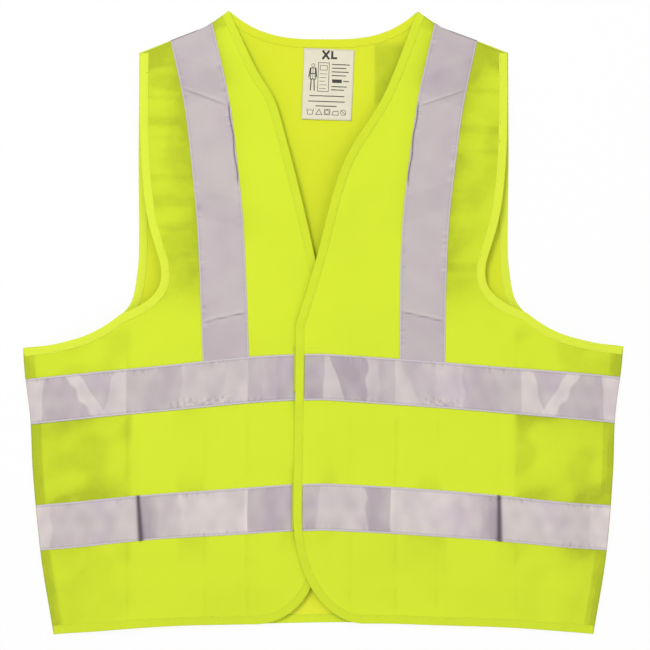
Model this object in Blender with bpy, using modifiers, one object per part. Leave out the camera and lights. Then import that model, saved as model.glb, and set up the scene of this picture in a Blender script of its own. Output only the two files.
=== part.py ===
"""High visibility vest, lying flat on its back with its front up.

X runs across the vest with the wearer's left at +X, Y runs from the hem to the collar, Z is up.
The origin is under the middle of the vest, on the surface it lies on. The pattern is drawn with
its Y counted from the hem corners, and each piece is moved to the middle as it is placed.
Cloth pieces are thin sheets that lie one over another with a small gap, and every sheet of the
front shares one height function, so that layers follow each other down to the seams.
The fronts open like doors about two fold lines, and the size label turns about its sewn edge.
"""
import math

import bmesh
import bpy
import numpy as np

# Body outline, flat
CHEST_HALF_WIDTH = 0.3255
HEM_HALF_WIDTH = 0.2940
SIDE_LENGTH = 0.3120
HEM_RISE = 0.0135
SIDE_SHAPE = ((0.0, 0.0), (0.27, 0.44), (0.55, 0.67), (0.75, 0.72), (0.91, 0.94), (1.0, 1.0))

# Shoulders, armholes and neck
SHOULDER_HALF_WIDTH = 0.2015
ARMHOLE_DEPTH = 0.3190
SHOULDER_RISE = 0.0470
SHOULDER_BEND = (0.0735, 0.0285)
NECK_HALF_WIDTH = 0.1020
BACK_NECK_DEPTH = 0.0308
ARMHOLE_CURVE_HEIGHT = 0.1180
ARMHOLE_FLAT_SHARE = 0.68
ARMHOLE_FLAT_RISE = 0.0040
ARMHOLE_STEEP_SHARE = 0.20
ARMHOLE_HOLLOW = 0.0035
ARMHOLE_INSET = 0.0010
FRONT_SCOOP = 0.0280
SCOOP_HEIGHT = 0.0740
SCOOP_UPPER_REACH = 0.0520
SCOOP_LOWER_REACH = 0.0370

# Front edges: the left front lies over the right front
LEFT_EDGE_X = -0.0310
RIGHT_EDGE_X = -0.0060
LEFT_V_DEPTH = 0.3430
RIGHT_V_DEPTH = 0.2830
LEFT_V_SHAPE = ((0.0, 0.0), (0.28, 0.27), (0.61, 0.49), (0.83, 0.79), (1.0, 1.0))
RIGHT_V_SHAPE = ((0.0, 0.0), (0.30, 0.22), (0.51, 0.34), (0.65, 0.50), (0.85, 0.77), (1.0, 1.0))
LEFT_CORNER = (0.0760, 0.1165)
RIGHT_CORNER = (0.0690, 0.0720)
FOLD_X = 0.0750

# Reflective tape
TAPE_WIDTH = 0.0500
TAPE_BOW_POWER = 1.3
CHEST_TAPE_DROP = 0.0590
CHEST_TAPE_BOW = 0.0270
WAIST_TAPE_SIDE_Y = 0.1150
WAIST_TAPE_BOW = 0.0247
BRACE_TOP_X = 0.1440
BRACE_KNEE = (0.1270, 0.0760)
BRACE_FOOT_X = 0.1063
BRACE_LEAN = (0.0020, 0.0080)
TAPE_BEND_X = 0.2400

# Trim
BINDING_WIDTH = 0.0090
SEAM_WIDTH = 0.0070
PATCH_SIZE = (0.0250, 0.0500)
PATCH_INSET = 0.0020
UPPER_PATCH_LIFT = 0.0080
LABEL_SIZE = (0.0540, 0.0770)
LABEL_X = 0.0060
LABEL_TILT = math.radians(-2.3)

# Thicknesses and clearances
FABRIC = 0.0008
TAPE = 0.0006
BINDING = 0.0005
PATCH = 0.0008
LABEL = 0.0004
GAP = 0.0003
SEAM_STACK = 0.0018
TORSO_SPACE = 0.0090
HINGE_CLEARANCE = 0.0006

# Slopes of the front
SIDE_RAMP = 0.0600
SHOULDER_RAMP = 0.0450
SIDE_LINE_MARGIN = (0.0015, 0.0090)
LAP_FLAT_X = 0.0080

# Places that follow from the sizes above
UNDERARM_Y = SIDE_LENGTH
SHOULDER_Y = UNDERARM_Y + ARMHOLE_DEPTH
NECK_Y = SHOULDER_Y + SHOULDER_RISE
MIDDLE_Y = NECK_Y / 2
CHEST_TAPE_SIDE_Y = UNDERARM_Y - CHEST_TAPE_DROP
BRACE_OUTER_X = BRACE_FOOT_X + 0.6 * TAPE_WIDTH
HOOK_PATCH_X = LEFT_EDGE_X + BINDING_WIDTH + PATCH_INSET + PATCH_SIZE[0] / 2
LOOP_PATCH_X = RIGHT_EDGE_X - PATCH_INSET - PATCH_SIZE[0] / 2

# Heights that follow from the thicknesses
BACK_Z = TAPE + GAP
BACK_TOP = BACK_Z + FABRIC
SEAM_SPACE = SEAM_STACK + 2 * GAP
FRONT_LOW_Z = BACK_TOP + SEAM_SPACE
TORSO_RISE = TORSO_SPACE - SEAM_SPACE
ON_FABRIC = FABRIC + GAP
ON_TAPE = ON_FABRIC + TAPE + GAP
LAP_RISE = ON_TAPE + PATCH + GAP + PATCH + GAP
HINGE_Z = BACK_TOP + TORSO_SPACE + ON_FABRIC + TAPE + HINGE_CLEARANCE
LABEL_HINGE_Z = BACK_TOP + GAP + BINDING + HINGE_CLEARANCE

# Samples along curves
CURVE_STEPS = 8
HEM_STEPS = 12

YELLOW = (0.68, 0.81, 0.03)
YELLOW_TRIM = (0.74, 0.85, 0.05)
SILVER = (0.55, 0.51, 0.52)
LABEL_WHITE = (0.86, 0.84, 0.78)


# ---------------------------------------------------------------- plane curves

def line_of(points):
    """An array of (x, y) rows."""
    return np.array(points, dtype=float)


def mirrored(points, side):
    """The curve itself for side 1, its mirror image for side -1."""
    return points * np.array([side, 1.0])


def bezier(start, pull_start, pull_end, end, steps):
    """A cubic curve from start to end, drawn towards its two pulls."""
    t = np.linspace(0.0, 1.0, steps + 1)[:, None]
    a, b, c, d = (np.array(p) for p in (start, pull_start, pull_end, end))
    return (1 - t) ** 3 * a + 3 * (1 - t) ** 2 * t * b + 3 * (1 - t) * t ** 2 * c + t ** 3 * d


def smooth_through(points, steps):
    """A smooth curve through the points: each span is a cubic whose ends follow the neighbours."""
    p = line_of(points)
    padded = np.vstack([2 * p[0] - p[1], p, 2 * p[-1] - p[-2]])
    spans = [
        bezier(b, b + (c - a) / 6, c - (d - b) / 6, c, steps)[:-1]
        for a, b, c, d in zip(padded, padded[1:], padded[2:], padded[3:])
    ]
    return np.vstack(spans + [p[-1:]])


def shifted(path, distance):
    """The path moved sideways: to its left for a positive distance."""
    step = np.gradient(path, axis=0)
    normal = np.stack([-step[:, 1], step[:, 0]], axis=1)
    return path + distance * normal / np.linalg.norm(normal, axis=1)[:, None]


def side_edge():
    """From the hem corner up to the underarm corner."""
    spread = CHEST_HALF_WIDTH - HEM_HALF_WIDTH
    return line_of([(HEM_HALF_WIDTH + across * spread, up * SIDE_LENGTH) for up, across in SIDE_SHAPE])


def hem_y(x):
    """Height of the hem, highest in the middle."""
    return HEM_RISE * (1 - (x / HEM_HALF_WIDTH) ** 2)


def hem_edge(start_x, end_x):
    """The hem between two places."""
    x = np.linspace(start_x, end_x, HEM_STEPS + 1)
    return np.stack([x, hem_y(x)], axis=1)


def back_armhole():
    """From the underarm corner up to the shoulder tip."""
    corner = (CHEST_HALF_WIDTH, UNDERARM_Y)
    turn = (SHOULDER_HALF_WIDTH - ARMHOLE_INSET, UNDERARM_Y + ARMHOLE_CURVE_HEIGHT)
    flat_reach = ARMHOLE_FLAT_SHARE * (CHEST_HALF_WIDTH - SHOULDER_HALF_WIDTH)
    pull_side = (CHEST_HALF_WIDTH - flat_reach, UNDERARM_Y + ARMHOLE_FLAT_RISE)
    pull_up = (SHOULDER_HALF_WIDTH - ARMHOLE_HOLLOW,
               UNDERARM_Y + ARMHOLE_STEEP_SHARE * ARMHOLE_CURVE_HEIGHT)
    scoop = bezier(corner, pull_side, pull_up, turn, 2 * CURVE_STEPS)
    rise = np.linspace(turn[1], SHOULDER_Y, CURVE_STEPS + 1)[1:]
    return np.vstack([scoop, [(SHOULDER_HALF_WIDTH - ARMHOLE_INSET / 2, y) for y in rise]])


def front_armhole():
    """The back armhole, cut further in around the front of the shoulder."""
    path = back_armhole()
    above = path[:, 1] - (UNDERARM_Y + SCOOP_HEIGHT)
    upper = 1 / (1 + (above / SCOOP_UPPER_REACH) ** 2)
    lower = np.clip(1 - (above / SCOOP_LOWER_REACH) ** 2, 0, 1)
    path[:, 0] -= FRONT_SCOOP * np.where(above > 0, upper, lower)
    return path


def shoulder_line():
    """From the outer shoulder tip up to the neck point."""
    bend = (SHOULDER_HALF_WIDTH - SHOULDER_BEND[0], SHOULDER_Y + SHOULDER_BEND[1])
    return line_of([(SHOULDER_HALF_WIDTH, SHOULDER_Y), bend, (NECK_HALF_WIDTH, NECK_Y)])


def back_neck():
    """From the left neck point to the right one."""
    x = np.linspace(NECK_HALF_WIDTH, -NECK_HALF_WIDTH, 2 * CURVE_STEPS + 1)
    return np.stack([x, NECK_Y - BACK_NECK_DEPTH * (1 - np.abs(x / NECK_HALF_WIDTH) ** 3)], axis=1)


def free_edge_x(side):
    """How far each front reaches, counted as if it were the left one."""
    return LEFT_EDGE_X if side > 0 else -RIGHT_EDGE_X


def v_edge(side):
    """From the neck point down the V to the free edge."""
    depth, shape = (LEFT_V_DEPTH, LEFT_V_SHAPE) if side > 0 else (RIGHT_V_DEPTH, RIGHT_V_SHAPE)
    reach = NECK_HALF_WIDTH - free_edge_x(side)
    return smooth_through([(NECK_HALF_WIDTH - a * reach, NECK_Y - b * depth) for a, b in shape], 4)


def front_edge(side):
    """From the neck point down the V, down the free edge and round the lower corner to the hem."""
    corner = LEFT_CORNER if side > 0 else RIGHT_CORNER
    centre_x = free_edge_x(side) + corner[0]
    angle = np.linspace(0.0, math.pi / 2, 2 * CURVE_STEPS + 1)
    centre_y = hem_y(centre_x) + corner[1]
    turn_x = centre_x - corner[0] * np.cos(angle)
    turn_y = centre_y - corner[1] * np.sin(angle)
    return np.vstack([v_edge(side), np.stack([turn_x, turn_y], axis=1)])


def tape_y(x, side_y, bow):
    """Middle of a tape: it bows up from the side seams to the centre."""
    return side_y + bow * (1 - np.abs(x / CHEST_HALF_WIDTH) ** TAPE_BOW_POWER)


# ---------------------------------------------------------------- heights and planes

class Plane:
    """A vertical plane through a point of the plan, facing along (nx, ny)."""

    def __init__(self, point, normal):
        self.point = np.array(point, dtype=float)
        self.normal = np.array(normal, dtype=float) / math.hypot(*normal)

    def distance(self, x, y):
        return (x - self.point[0]) * self.normal[0] + (y - self.point[1]) * self.normal[1]

    def moved(self, distance):
        return Plane(self.point + distance * self.normal, self.normal)

    def mirrored(self, side):
        return Plane(self.point * (side, 1), self.normal * (side, 1))


def plane_through(a, b, towards):
    """The plane through a and b that faces the point towards."""
    along = np.subtract(b, a)
    normal = np.array([-along[1], along[0]])
    if np.dot(normal, np.subtract(towards, a)) < 0:
        normal = -normal
    return Plane(a, normal)


SIDE_PLANE = plane_through(
    (CHEST_HALF_WIDTH + SIDE_LINE_MARGIN[0], UNDERARM_Y),
    (HEM_HALF_WIDTH + SIDE_LINE_MARGIN[1], 0.0),
    (0.0, 0.0),
)
SHOULDER_PLANE = plane_through(shoulder_line()[0], shoulder_line()[1], (0.0, 0.0))
NECK_POINT_PLANE = plane_through(shoulder_line()[1], shoulder_line()[2], (0.0, 0.0))


class Back:
    """The back lies flat."""

    base = BACK_Z
    creases = []

    def height(self, x, y):
        return np.full_like(x, self.base)


class Front:
    """The front rises from the side and shoulder seams to a level over the torso space."""

    base = FRONT_LOW_Z

    def __init__(self, side, laps=False):
        self.side = side
        self.laps = laps
        side_plane = SIDE_PLANE.mirrored(side)
        shoulder = SHOULDER_PLANE.mirrored(side)
        self.ramps = [(side_plane, SIDE_RAMP), (shoulder, SHOULDER_RAMP)]
        self.creases = [plane for ramp, reach in self.ramps for plane in (ramp, ramp.moved(reach))]
        if laps:
            self.creases.append(Plane((LAP_FLAT_X, 0), (1, 0)))

    def height(self, x, y):
        share = np.ones_like(x)
        for plane, reach in self.ramps:
            share = np.minimum(share, np.clip(plane.distance(x, y) / reach, 0, 1))
        z = self.base + TORSO_RISE * share
        if self.laps:
            z = z + LAP_RISE * np.clip((FOLD_X - x) / (FOLD_X - LAP_FLAT_X), 0, 1)
        return z


BACK = Back()
FRONT = {1: Front(1), -1: Front(-1)}
FLAP = {1: Front(1, laps=True), -1: Front(-1)}


# ---------------------------------------------------------------- scene helpers

def clear_scene():
    for obj in list(bpy.data.objects):
        bpy.data.objects.remove(obj, do_unlink=True)


clear_scene()
VEST = bpy.data.collections.new("high_visibility_vest")
bpy.context.scene.collection.children.link(VEST)


def finish(name, colour, roughness):
    """A plain material for one piece."""
    material = bpy.data.materials.new(name)
    material.use_nodes = True
    shader = material.node_tree.nodes["Principled BSDF"]
    shader.inputs["Base Color"].default_value = (*colour, 1.0)
    shader.inputs["Roughness"].default_value = roughness
    return material


def hinge(name, x, y, z):
    """An empty on a joint's axis."""
    empty = bpy.data.objects.new(name, None)
    empty.location = (x, y - MIDDLE_Y, z)
    VEST.objects.link(empty)
    return empty


def filled(outline):
    """A flat sheet: the outline drawn as a filled plane curve and made a mesh."""
    curve = bpy.data.curves.new("outline", "CURVE")
    curve.dimensions = "2D"
    curve.fill_mode = "BOTH"
    spline = curve.splines.new("POLY")
    spline.points.add(len(outline) - 1)
    for point, (x, y) in zip(spline.points, outline):
        point.co = (x, y, 0.0, 1.0)
    spline.use_cyclic_u = True
    guide = bpy.data.objects.new("outline", curve)
    VEST.objects.link(guide)
    bpy.context.view_layer.update()
    evaluated = guide.evaluated_get(bpy.context.evaluated_depsgraph_get())
    mesh = bpy.data.meshes.new_from_object(evaluated)
    sheet = bmesh.new()
    sheet.from_mesh(mesh)
    bmesh.ops.remove_doubles(sheet, verts=sheet.verts, dist=0.00001)
    bpy.data.objects.remove(guide, do_unlink=True)
    bpy.data.curves.remove(curve)
    bpy.data.meshes.remove(mesh)
    for face in sheet.faces:
        if face.normal.z < 0:
            face.normal_flip()
    return sheet


def folded_strip(path, inward):
    """The outer skin of a binding: a strip folded over the edge that path follows.

    inward is 1 where the cloth lies to the left of the path and -1 where it lies to the right.
    Heights are counted from the underside of the cloth.
    """
    top = FABRIC + GAP + BINDING
    bottom = -GAP - BINDING
    inner = shifted(path, inward * BINDING_WIDTH)
    rails = [(inner, top), (path, top), (path, bottom), (inner, bottom)]
    strip = bmesh.new()
    rows = [[strip.verts.new((x, y, z)) for x, y in rail] for rail, z in rails]
    for near, far in zip(rows, rows[1:]):
        for i in range(len(path) - 1):
            strip.faces.new((near[i], near[i + 1], far[i + 1], far[i]))
    if inward > 0:
        bmesh.ops.reverse_faces(strip, faces=strip.faces)
    return strip


def ribbon(path, near, far):
    """A flat strip between two sideways shifts of a path."""
    return filled(np.vstack([shifted(path, near), shifted(path, far)[::-1]]))


def place(name, sheet, surface, lift, thickness, colour, roughness=0.85, keep=(), on_hinge=None,
          outward=1.0):
    """Trim a sheet, crease and lift it to its surface, and give it its thickness."""
    for plane in keep:
        geometry = sheet.verts[:] + sheet.edges[:] + sheet.faces[:]
        bmesh.ops.bisect_plane(
            sheet, geom=geometry, dist=0.000001, plane_co=(*plane.point, 0.0),
            plane_no=(*-plane.normal, 0.0), clear_outer=True)
    for plane in surface.creases:
        geometry = sheet.verts[:] + sheet.edges[:] + sheet.faces[:]
        bmesh.ops.bisect_plane(
            sheet, geom=geometry, dist=0.000001, plane_co=(*plane.point, 0.0),
            plane_no=(*plane.normal, 0.0))
    places = np.array([vert.co for vert in sheet.verts])
    heights = surface.height(places[:, 0], places[:, 1]) + lift
    for vert, height in zip(sheet.verts, heights):
        vert.co.z += height
        vert.co.y -= MIDDLE_Y
    mesh = bpy.data.meshes.new(name)
    sheet.to_mesh(mesh)
    sheet.free()
    obj = bpy.data.objects.new(name, mesh)
    VEST.objects.link(obj)
    obj.data.materials.append(finish(name, colour, roughness))
    if on_hinge:
        mesh.transform(on_hinge.matrix_world.inverted())
        obj.parent = on_hinge
    solid = obj.modifiers.new("thickness", "SOLIDIFY")
    solid.thickness = thickness
    solid.offset = outward
    solid.use_even_offset = True
    solid.use_quality_normals = True
    return obj


# ---------------------------------------------------------------- hinges

HINGES = {
    1: hinge("left_flap_hinge", FOLD_X, MIDDLE_Y, HINGE_Z),
    -1: hinge("right_flap_hinge", -FOLD_X, MIDDLE_Y, HINGE_Z),
}
LABEL_TOP_Y = (NECK_Y - BACK_NECK_DEPTH - BINDING_WIDTH - GAP
               - LABEL_SIZE[0] / 2 * abs(math.sin(LABEL_TILT)))
LABEL_HINGE = hinge("size_label_hinge", LABEL_X, LABEL_TOP_Y, LABEL_HINGE_Z)
LABEL_HINGE.rotation_euler.z = LABEL_TILT
bpy.context.view_layer.update()

SIDES = ((1, "left"), (-1, "right"))
FOLD_PLANE = Plane((FOLD_X + GAP / 2, 0), (1, 0))
FLAP_PLANE = Plane((FOLD_X - GAP / 2, 0), (-1, 0))
EDGE_INSET = BINDING + GAP


# ---------------------------------------------------------------- shell

def bound(path, inward):
    """Where the cloth ends inside a binding that follows path."""
    return shifted(path, inward * EDGE_INSET)


def back_panel():
    half = [
        bound(hem_edge(0.0, HEM_HALF_WIDTH), 1),
        side_edge()[1:-1],
        bound(back_armhole(), 1),
        shoulder_line()[1:2],
    ]
    right = np.vstack(half)
    neck = bound(back_neck(), 1)
    left = mirrored(right, -1)[::-1]
    place("back_panel", filled(np.vstack([right, neck, left[:-1]])), BACK, 0.0, FABRIC, YELLOW)


def front_outline(side):
    """The whole front on one side, as if it were on the left."""
    edge = front_edge(side)
    outline = [
        bound(hem_edge(edge[-1, 0], HEM_HALF_WIDTH), 1),
        side_edge()[1:-1],
        bound(front_armhole(), 1),
        shoulder_line()[1:2],
        bound(edge, 1)[:-1],
    ]
    return np.vstack(outline)


def front_panels():
    for side, name in SIDES:
        outline = mirrored(front_outline(side), side)
        place(f"{name}_front_panel", filled(outline), FRONT[side], 0.0, FABRIC, YELLOW,
              keep=[FOLD_PLANE.mirrored(side)])
        place(f"{name}_front_flap", filled(outline), FLAP[side], 0.0, FABRIC, YELLOW,
              keep=[FLAP_PLANE.mirrored(side)], on_hinge=HINGES[side])


# ---------------------------------------------------------------- bindings

def bind(name, path, inward, surface, keep=(), on_hinge=None):
    place(name, folded_strip(path, inward), surface, 0.0, BINDING, YELLOW_TRIM,
          keep=keep, on_hinge=on_hinge, outward=-1.0)


def bindings():
    neck_cut = [NECK_POINT_PLANE, NECK_POINT_PLANE.mirrored(-1)]
    bind("back_neck_binding", back_neck(), 1, BACK, keep=neck_cut)
    bind("back_hem_binding", hem_edge(-HEM_HALF_WIDTH, HEM_HALF_WIDTH), 1, BACK)
    for side, name in SIDES:
        edge = mirrored(front_edge(side), side)
        corner_end = edge[-1, 0] * side
        hem_start = max(corner_end, FOLD_X + GAP / 2)
        hem = mirrored(hem_edge(hem_start, HEM_HALF_WIDTH), side)
        bind(f"{name}_back_armhole_binding", mirrored(back_armhole(), side), side, BACK)
        bind(f"{name}_front_armhole_binding", mirrored(front_armhole(), side), side, FRONT[side])
        bind(f"{name}_neck_binding", mirrored(v_edge(side), side), side, FRONT[side],
             keep=[FOLD_PLANE.mirrored(side), NECK_POINT_PLANE.mirrored(side)])
        bind(f"{name}_hem_binding", hem, side, FRONT[side])
        if corner_end < FOLD_X:
            tail = mirrored(hem_edge(corner_end, FOLD_X), side)
            edge = np.vstack([edge, tail[1:]])
        bind(f"{name}_flap_binding", edge, side, FLAP[side], keep=[FLAP_PLANE.mirrored(side)],
             on_hinge=HINGES[side])


# ---------------------------------------------------------------- seams

def seams():
    for side, name in SIDES:
        margin = BINDING_WIDTH + GAP
        cut_low = Plane((0, hem_y(HEM_HALF_WIDTH - 2 * SEAM_WIDTH) + margin), (0, 1))
        cut_high = Plane((0, UNDERARM_Y - margin - GAP), (0, -1))
        strip = ribbon(mirrored(side_edge(), side), 0.0, side * SEAM_WIDTH)
        place(f"{name}_side_seam", strip, BACK, ON_FABRIC, SEAM_STACK, YELLOW_TRIM,
              keep=[cut_low, cut_high])
        outer, bend = shoulder_line()[:2]
        path = mirrored(line_of([outer, (outer + bend) / 2, bend]), side)
        cut_out = Plane((side * (SHOULDER_HALF_WIDTH - margin - GAP), 0), (-side, 0))
        place(f"{name}_shoulder_seam", ribbon(path, 0.0, side * SEAM_WIDTH), BACK, ON_FABRIC,
              SEAM_STACK, YELLOW_TRIM, keep=[cut_out])


# ---------------------------------------------------------------- reflective tape

def band(side_y, bow):
    """One tape across the whole width, with its long edges level with each other."""
    knots = [0.0, FOLD_X, BRACE_OUTER_X, TAPE_BEND_X, CHEST_HALF_WIDTH + TAPE_WIDTH]
    x = np.array([-k for k in knots[:0:-1]] + knots)
    middle = tape_y(x, side_y, bow)
    upper = np.stack([x, middle + TAPE_WIDTH / 2], axis=1)
    lower = np.stack([x, middle - TAPE_WIDTH / 2], axis=1)
    return np.vstack([lower, upper[::-1]])


def end_cut(edge, middle, towards):
    """Where a band stops: along an edge of the vest, between the band's lower and upper corners."""
    heights = np.array([middle - TAPE_WIDTH / 2, middle + TAPE_WIDTH / 2])
    rising = edge[np.argsort(edge[:, 1])]
    places = np.interp(heights, rising[:, 1], rising[:, 0])
    return plane_through((places[0], heights[0]), (places[1], heights[1]), towards).moved(GAP)


def cross_tapes():
    for tape, side_y, bow in (("chest", CHEST_TAPE_SIDE_Y, CHEST_TAPE_BOW),
                              ("waist", WAIST_TAPE_SIDE_Y, WAIST_TAPE_BOW)):
        outer = end_cut(side_edge(), tape_y(CHEST_HALF_WIDTH, side_y, bow), (0.0, side_y))
        ends = {side: outer.mirrored(side) for side in (1, -1)}
        place(f"back_{tape}_tape", filled(band(side_y, bow)), BACK, -BACK_Z, TAPE, SILVER, 0.4,
              keep=ends.values())
        for side, name in SIDES:
            inner = shifted(front_edge(side), BINDING_WIDTH)
            free_end = end_cut(inner, side_y + bow, (CHEST_HALF_WIDTH, side_y)).mirrored(side)
            place(f"{name}_{tape}_tape", filled(band(side_y, bow)), FRONT[side], ON_FABRIC, TAPE,
                  SILVER, 0.4, keep=[ends[side], FOLD_PLANE.mirrored(side)])
            place(f"{name}_flap_{tape}_tape", filled(band(side_y, bow)), FLAP[side], ON_FABRIC,
                  TAPE, SILVER, 0.4, keep=[free_end, FLAP_PLANE.mirrored(side)],
                  on_hinge=HINGES[side])


def brace_tapes():
    """Tapes over the shoulders, from the chest tape's upper edge to the shoulder seam."""
    upper = [
        (x, tape_y(x, CHEST_TAPE_SIDE_Y, CHEST_TAPE_BOW) + TAPE_WIDTH / 2)
        for x in (FOLD_X, BRACE_OUTER_X)
    ]
    foot = plane_through(*upper, (0.0, NECK_Y)).moved(GAP)
    path = line_of([
        (BRACE_FOOT_X - BRACE_LEAN[0], CHEST_TAPE_SIDE_Y),
        (BRACE_FOOT_X, upper[0][1]),
        (BRACE_KNEE[0], SHOULDER_Y + SHOULDER_RISE / 2 - BRACE_KNEE[1]),
        (BRACE_TOP_X, SHOULDER_Y + SHOULDER_RISE / 2),
        (BRACE_TOP_X + BRACE_LEAN[1], NECK_Y),
    ])
    for side, name in SIDES:
        keep = [foot.mirrored(side), SHOULDER_PLANE.moved(GAP).mirrored(side)]
        route = mirrored(path, side)
        place(f"{name}_back_brace_tape", ribbon(route, TAPE_WIDTH / 2, -TAPE_WIDTH / 2), BACK,
              -BACK_Z, TAPE, SILVER, 0.4, keep=keep)
        place(f"{name}_front_brace_tape", ribbon(route, TAPE_WIDTH / 2, -TAPE_WIDTH / 2),
              FRONT[side], ON_FABRIC, TAPE, SILVER, 0.4, keep=keep)


# ---------------------------------------------------------------- closure and label

def rectangle(centre, size, turn=0.0):
    """Corners of a rectangle, turned about its centre."""
    half = np.array(size) / 2
    corners = line_of([(-1, -1), (1, -1), (1, 1), (-1, 1)]) * half
    spin = np.array([[math.cos(turn), math.sin(turn)], [-math.sin(turn), math.cos(turn)]])
    return corners @ spin + np.array(centre)


def closure_patches():
    """Hook patches under the left front meet loop patches on the right front."""
    rows = (
        ("upper", CHEST_TAPE_SIDE_Y + CHEST_TAPE_BOW + UPPER_PATCH_LIFT),
        ("lower", WAIST_TAPE_SIDE_Y + WAIST_TAPE_BOW),
    )
    for row, y in rows:
        place(f"{row}_loop_patch", filled(rectangle((LOOP_PATCH_X, y), PATCH_SIZE)), FLAP[-1],
              ON_TAPE, PATCH, YELLOW_TRIM, 0.95, on_hinge=HINGES[-1])
        place(f"{row}_hook_patch", filled(rectangle((HOOK_PATCH_X, y), PATCH_SIZE)), FLAP[1],
              -GAP - PATCH, PATCH, YELLOW_TRIM, 0.7, on_hinge=HINGES[1])


def size_label():
    """A woven label sewn along its top edge under the back neck binding."""
    top = np.array([LABEL_X, LABEL_TOP_Y])
    down = np.array([math.sin(LABEL_TILT), -math.cos(LABEL_TILT)]) * LABEL_SIZE[1]
    outline = rectangle(top + down / 2, LABEL_SIZE, LABEL_TILT)
    place("size_label", filled(outline), BACK, ON_FABRIC, LABEL, LABEL_WHITE, 0.6,
          on_hinge=LABEL_HINGE)


back_panel()
front_panels()
bindings()
seams()
cross_tapes()
brace_tapes()
closure_patches()
size_label()
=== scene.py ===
"""High visibility vest, lying flat on its back with its front up: how it looks.

The vest is one back and two overlapping fronts of yellow knit with bound edges, silver tapes, a
touch closure and a size label. Lengths are in metres. In every formula Y is counted from the hem
corners, as on the sewing pattern, and lay() moves each piece into the frame when it makes the mesh.
"""
import math

import bpy
import numpy as np
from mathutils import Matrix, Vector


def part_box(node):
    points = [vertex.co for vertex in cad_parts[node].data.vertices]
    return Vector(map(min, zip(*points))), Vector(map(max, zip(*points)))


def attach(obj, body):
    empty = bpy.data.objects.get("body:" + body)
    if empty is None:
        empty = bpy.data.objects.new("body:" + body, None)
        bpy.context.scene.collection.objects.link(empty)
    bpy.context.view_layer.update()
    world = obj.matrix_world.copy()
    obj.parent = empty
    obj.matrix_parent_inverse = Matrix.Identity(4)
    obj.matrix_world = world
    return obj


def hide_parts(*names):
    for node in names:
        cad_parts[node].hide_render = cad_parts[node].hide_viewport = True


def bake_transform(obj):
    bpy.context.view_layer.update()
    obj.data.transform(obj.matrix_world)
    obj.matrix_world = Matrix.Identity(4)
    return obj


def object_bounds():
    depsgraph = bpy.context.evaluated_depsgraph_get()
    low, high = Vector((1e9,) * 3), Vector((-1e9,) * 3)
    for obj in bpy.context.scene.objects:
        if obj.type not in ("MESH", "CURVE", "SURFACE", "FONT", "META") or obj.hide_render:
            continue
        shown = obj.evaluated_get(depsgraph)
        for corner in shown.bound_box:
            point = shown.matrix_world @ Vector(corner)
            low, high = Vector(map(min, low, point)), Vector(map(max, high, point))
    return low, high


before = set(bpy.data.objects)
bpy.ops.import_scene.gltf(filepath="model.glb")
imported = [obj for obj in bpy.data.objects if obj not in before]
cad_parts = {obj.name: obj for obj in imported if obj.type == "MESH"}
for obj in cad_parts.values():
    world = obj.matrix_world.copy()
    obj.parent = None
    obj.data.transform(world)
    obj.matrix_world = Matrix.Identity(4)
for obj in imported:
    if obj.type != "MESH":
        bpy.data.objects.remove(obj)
cad_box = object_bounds()
low, high = cad_box


# ---------------------------------------------------------------- studio
# A white table in a pale room, lit by one large soft lamp from the upper left and a weak wide one
# from the lower right. The camera looks straight down on the vest.

LENS = 85.0
SENSOR = 36.0
VIEW_WIDTH = 0.7066
VIEW_CENTRE = (0.0016, -0.0026)
VIEW_LEVEL = 0.003

camera_data = bpy.data.cameras.new("camera")
camera_data.lens = LENS
camera_data.sensor_width = SENSOR
camera = bpy.data.objects.new("camera", camera_data)
camera.location = (*VIEW_CENTRE, low.z + VIEW_LEVEL + VIEW_WIDTH * LENS / SENSOR)
bpy.context.scene.collection.objects.link(camera)
bpy.context.scene.camera = camera
bpy.context.scene.view_settings.view_transform = "Standard"


def lamp(name, place, size, power):
    """A square soft lamp that faces the middle of the vest."""
    data = bpy.data.lights.new(name, "AREA")
    data.shape = "SQUARE"
    data.size = size
    data.energy = power
    obj = bpy.data.objects.new(name, data)
    obj.location = place
    across, depth, height = place
    tilt = math.atan2(math.hypot(across, depth), height)
    obj.rotation_euler = (tilt, 0.0, math.atan2(depth, across) + math.pi / 2)
    bpy.context.scene.collection.objects.link(obj)


lamp("key_lamp", (-0.85, 1.10, 2.2), 1.0, 31.0)
lamp("fill_lamp", (1.5, -1.0, 2.2), 2.6, 16.0)


class Value:
    """A socket in a material's node tree; arithmetic on it adds Math nodes."""

    def __init__(self, paint, socket):
        self.paint = paint
        self.socket = socket

    def math(self, operation, other=0.0, clamp=False):
        settings = {"operation": operation, "use_clamp": clamp}
        return self.paint.node("Math", settings, {0: self, 1: other})

    def __add__(self, other):
        return self.math("ADD", other)

    def __sub__(self, other):
        return self.math("SUBTRACT", other)

    def __mul__(self, other):
        return self.math("MULTIPLY", other)

    __radd__ = __add__

    def held(self):
        """The value kept between 0 and 1."""
        return self.math("ADD", 0.0, clamp=True)

    def sine(self):
        return self.math("SINE")


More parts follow.
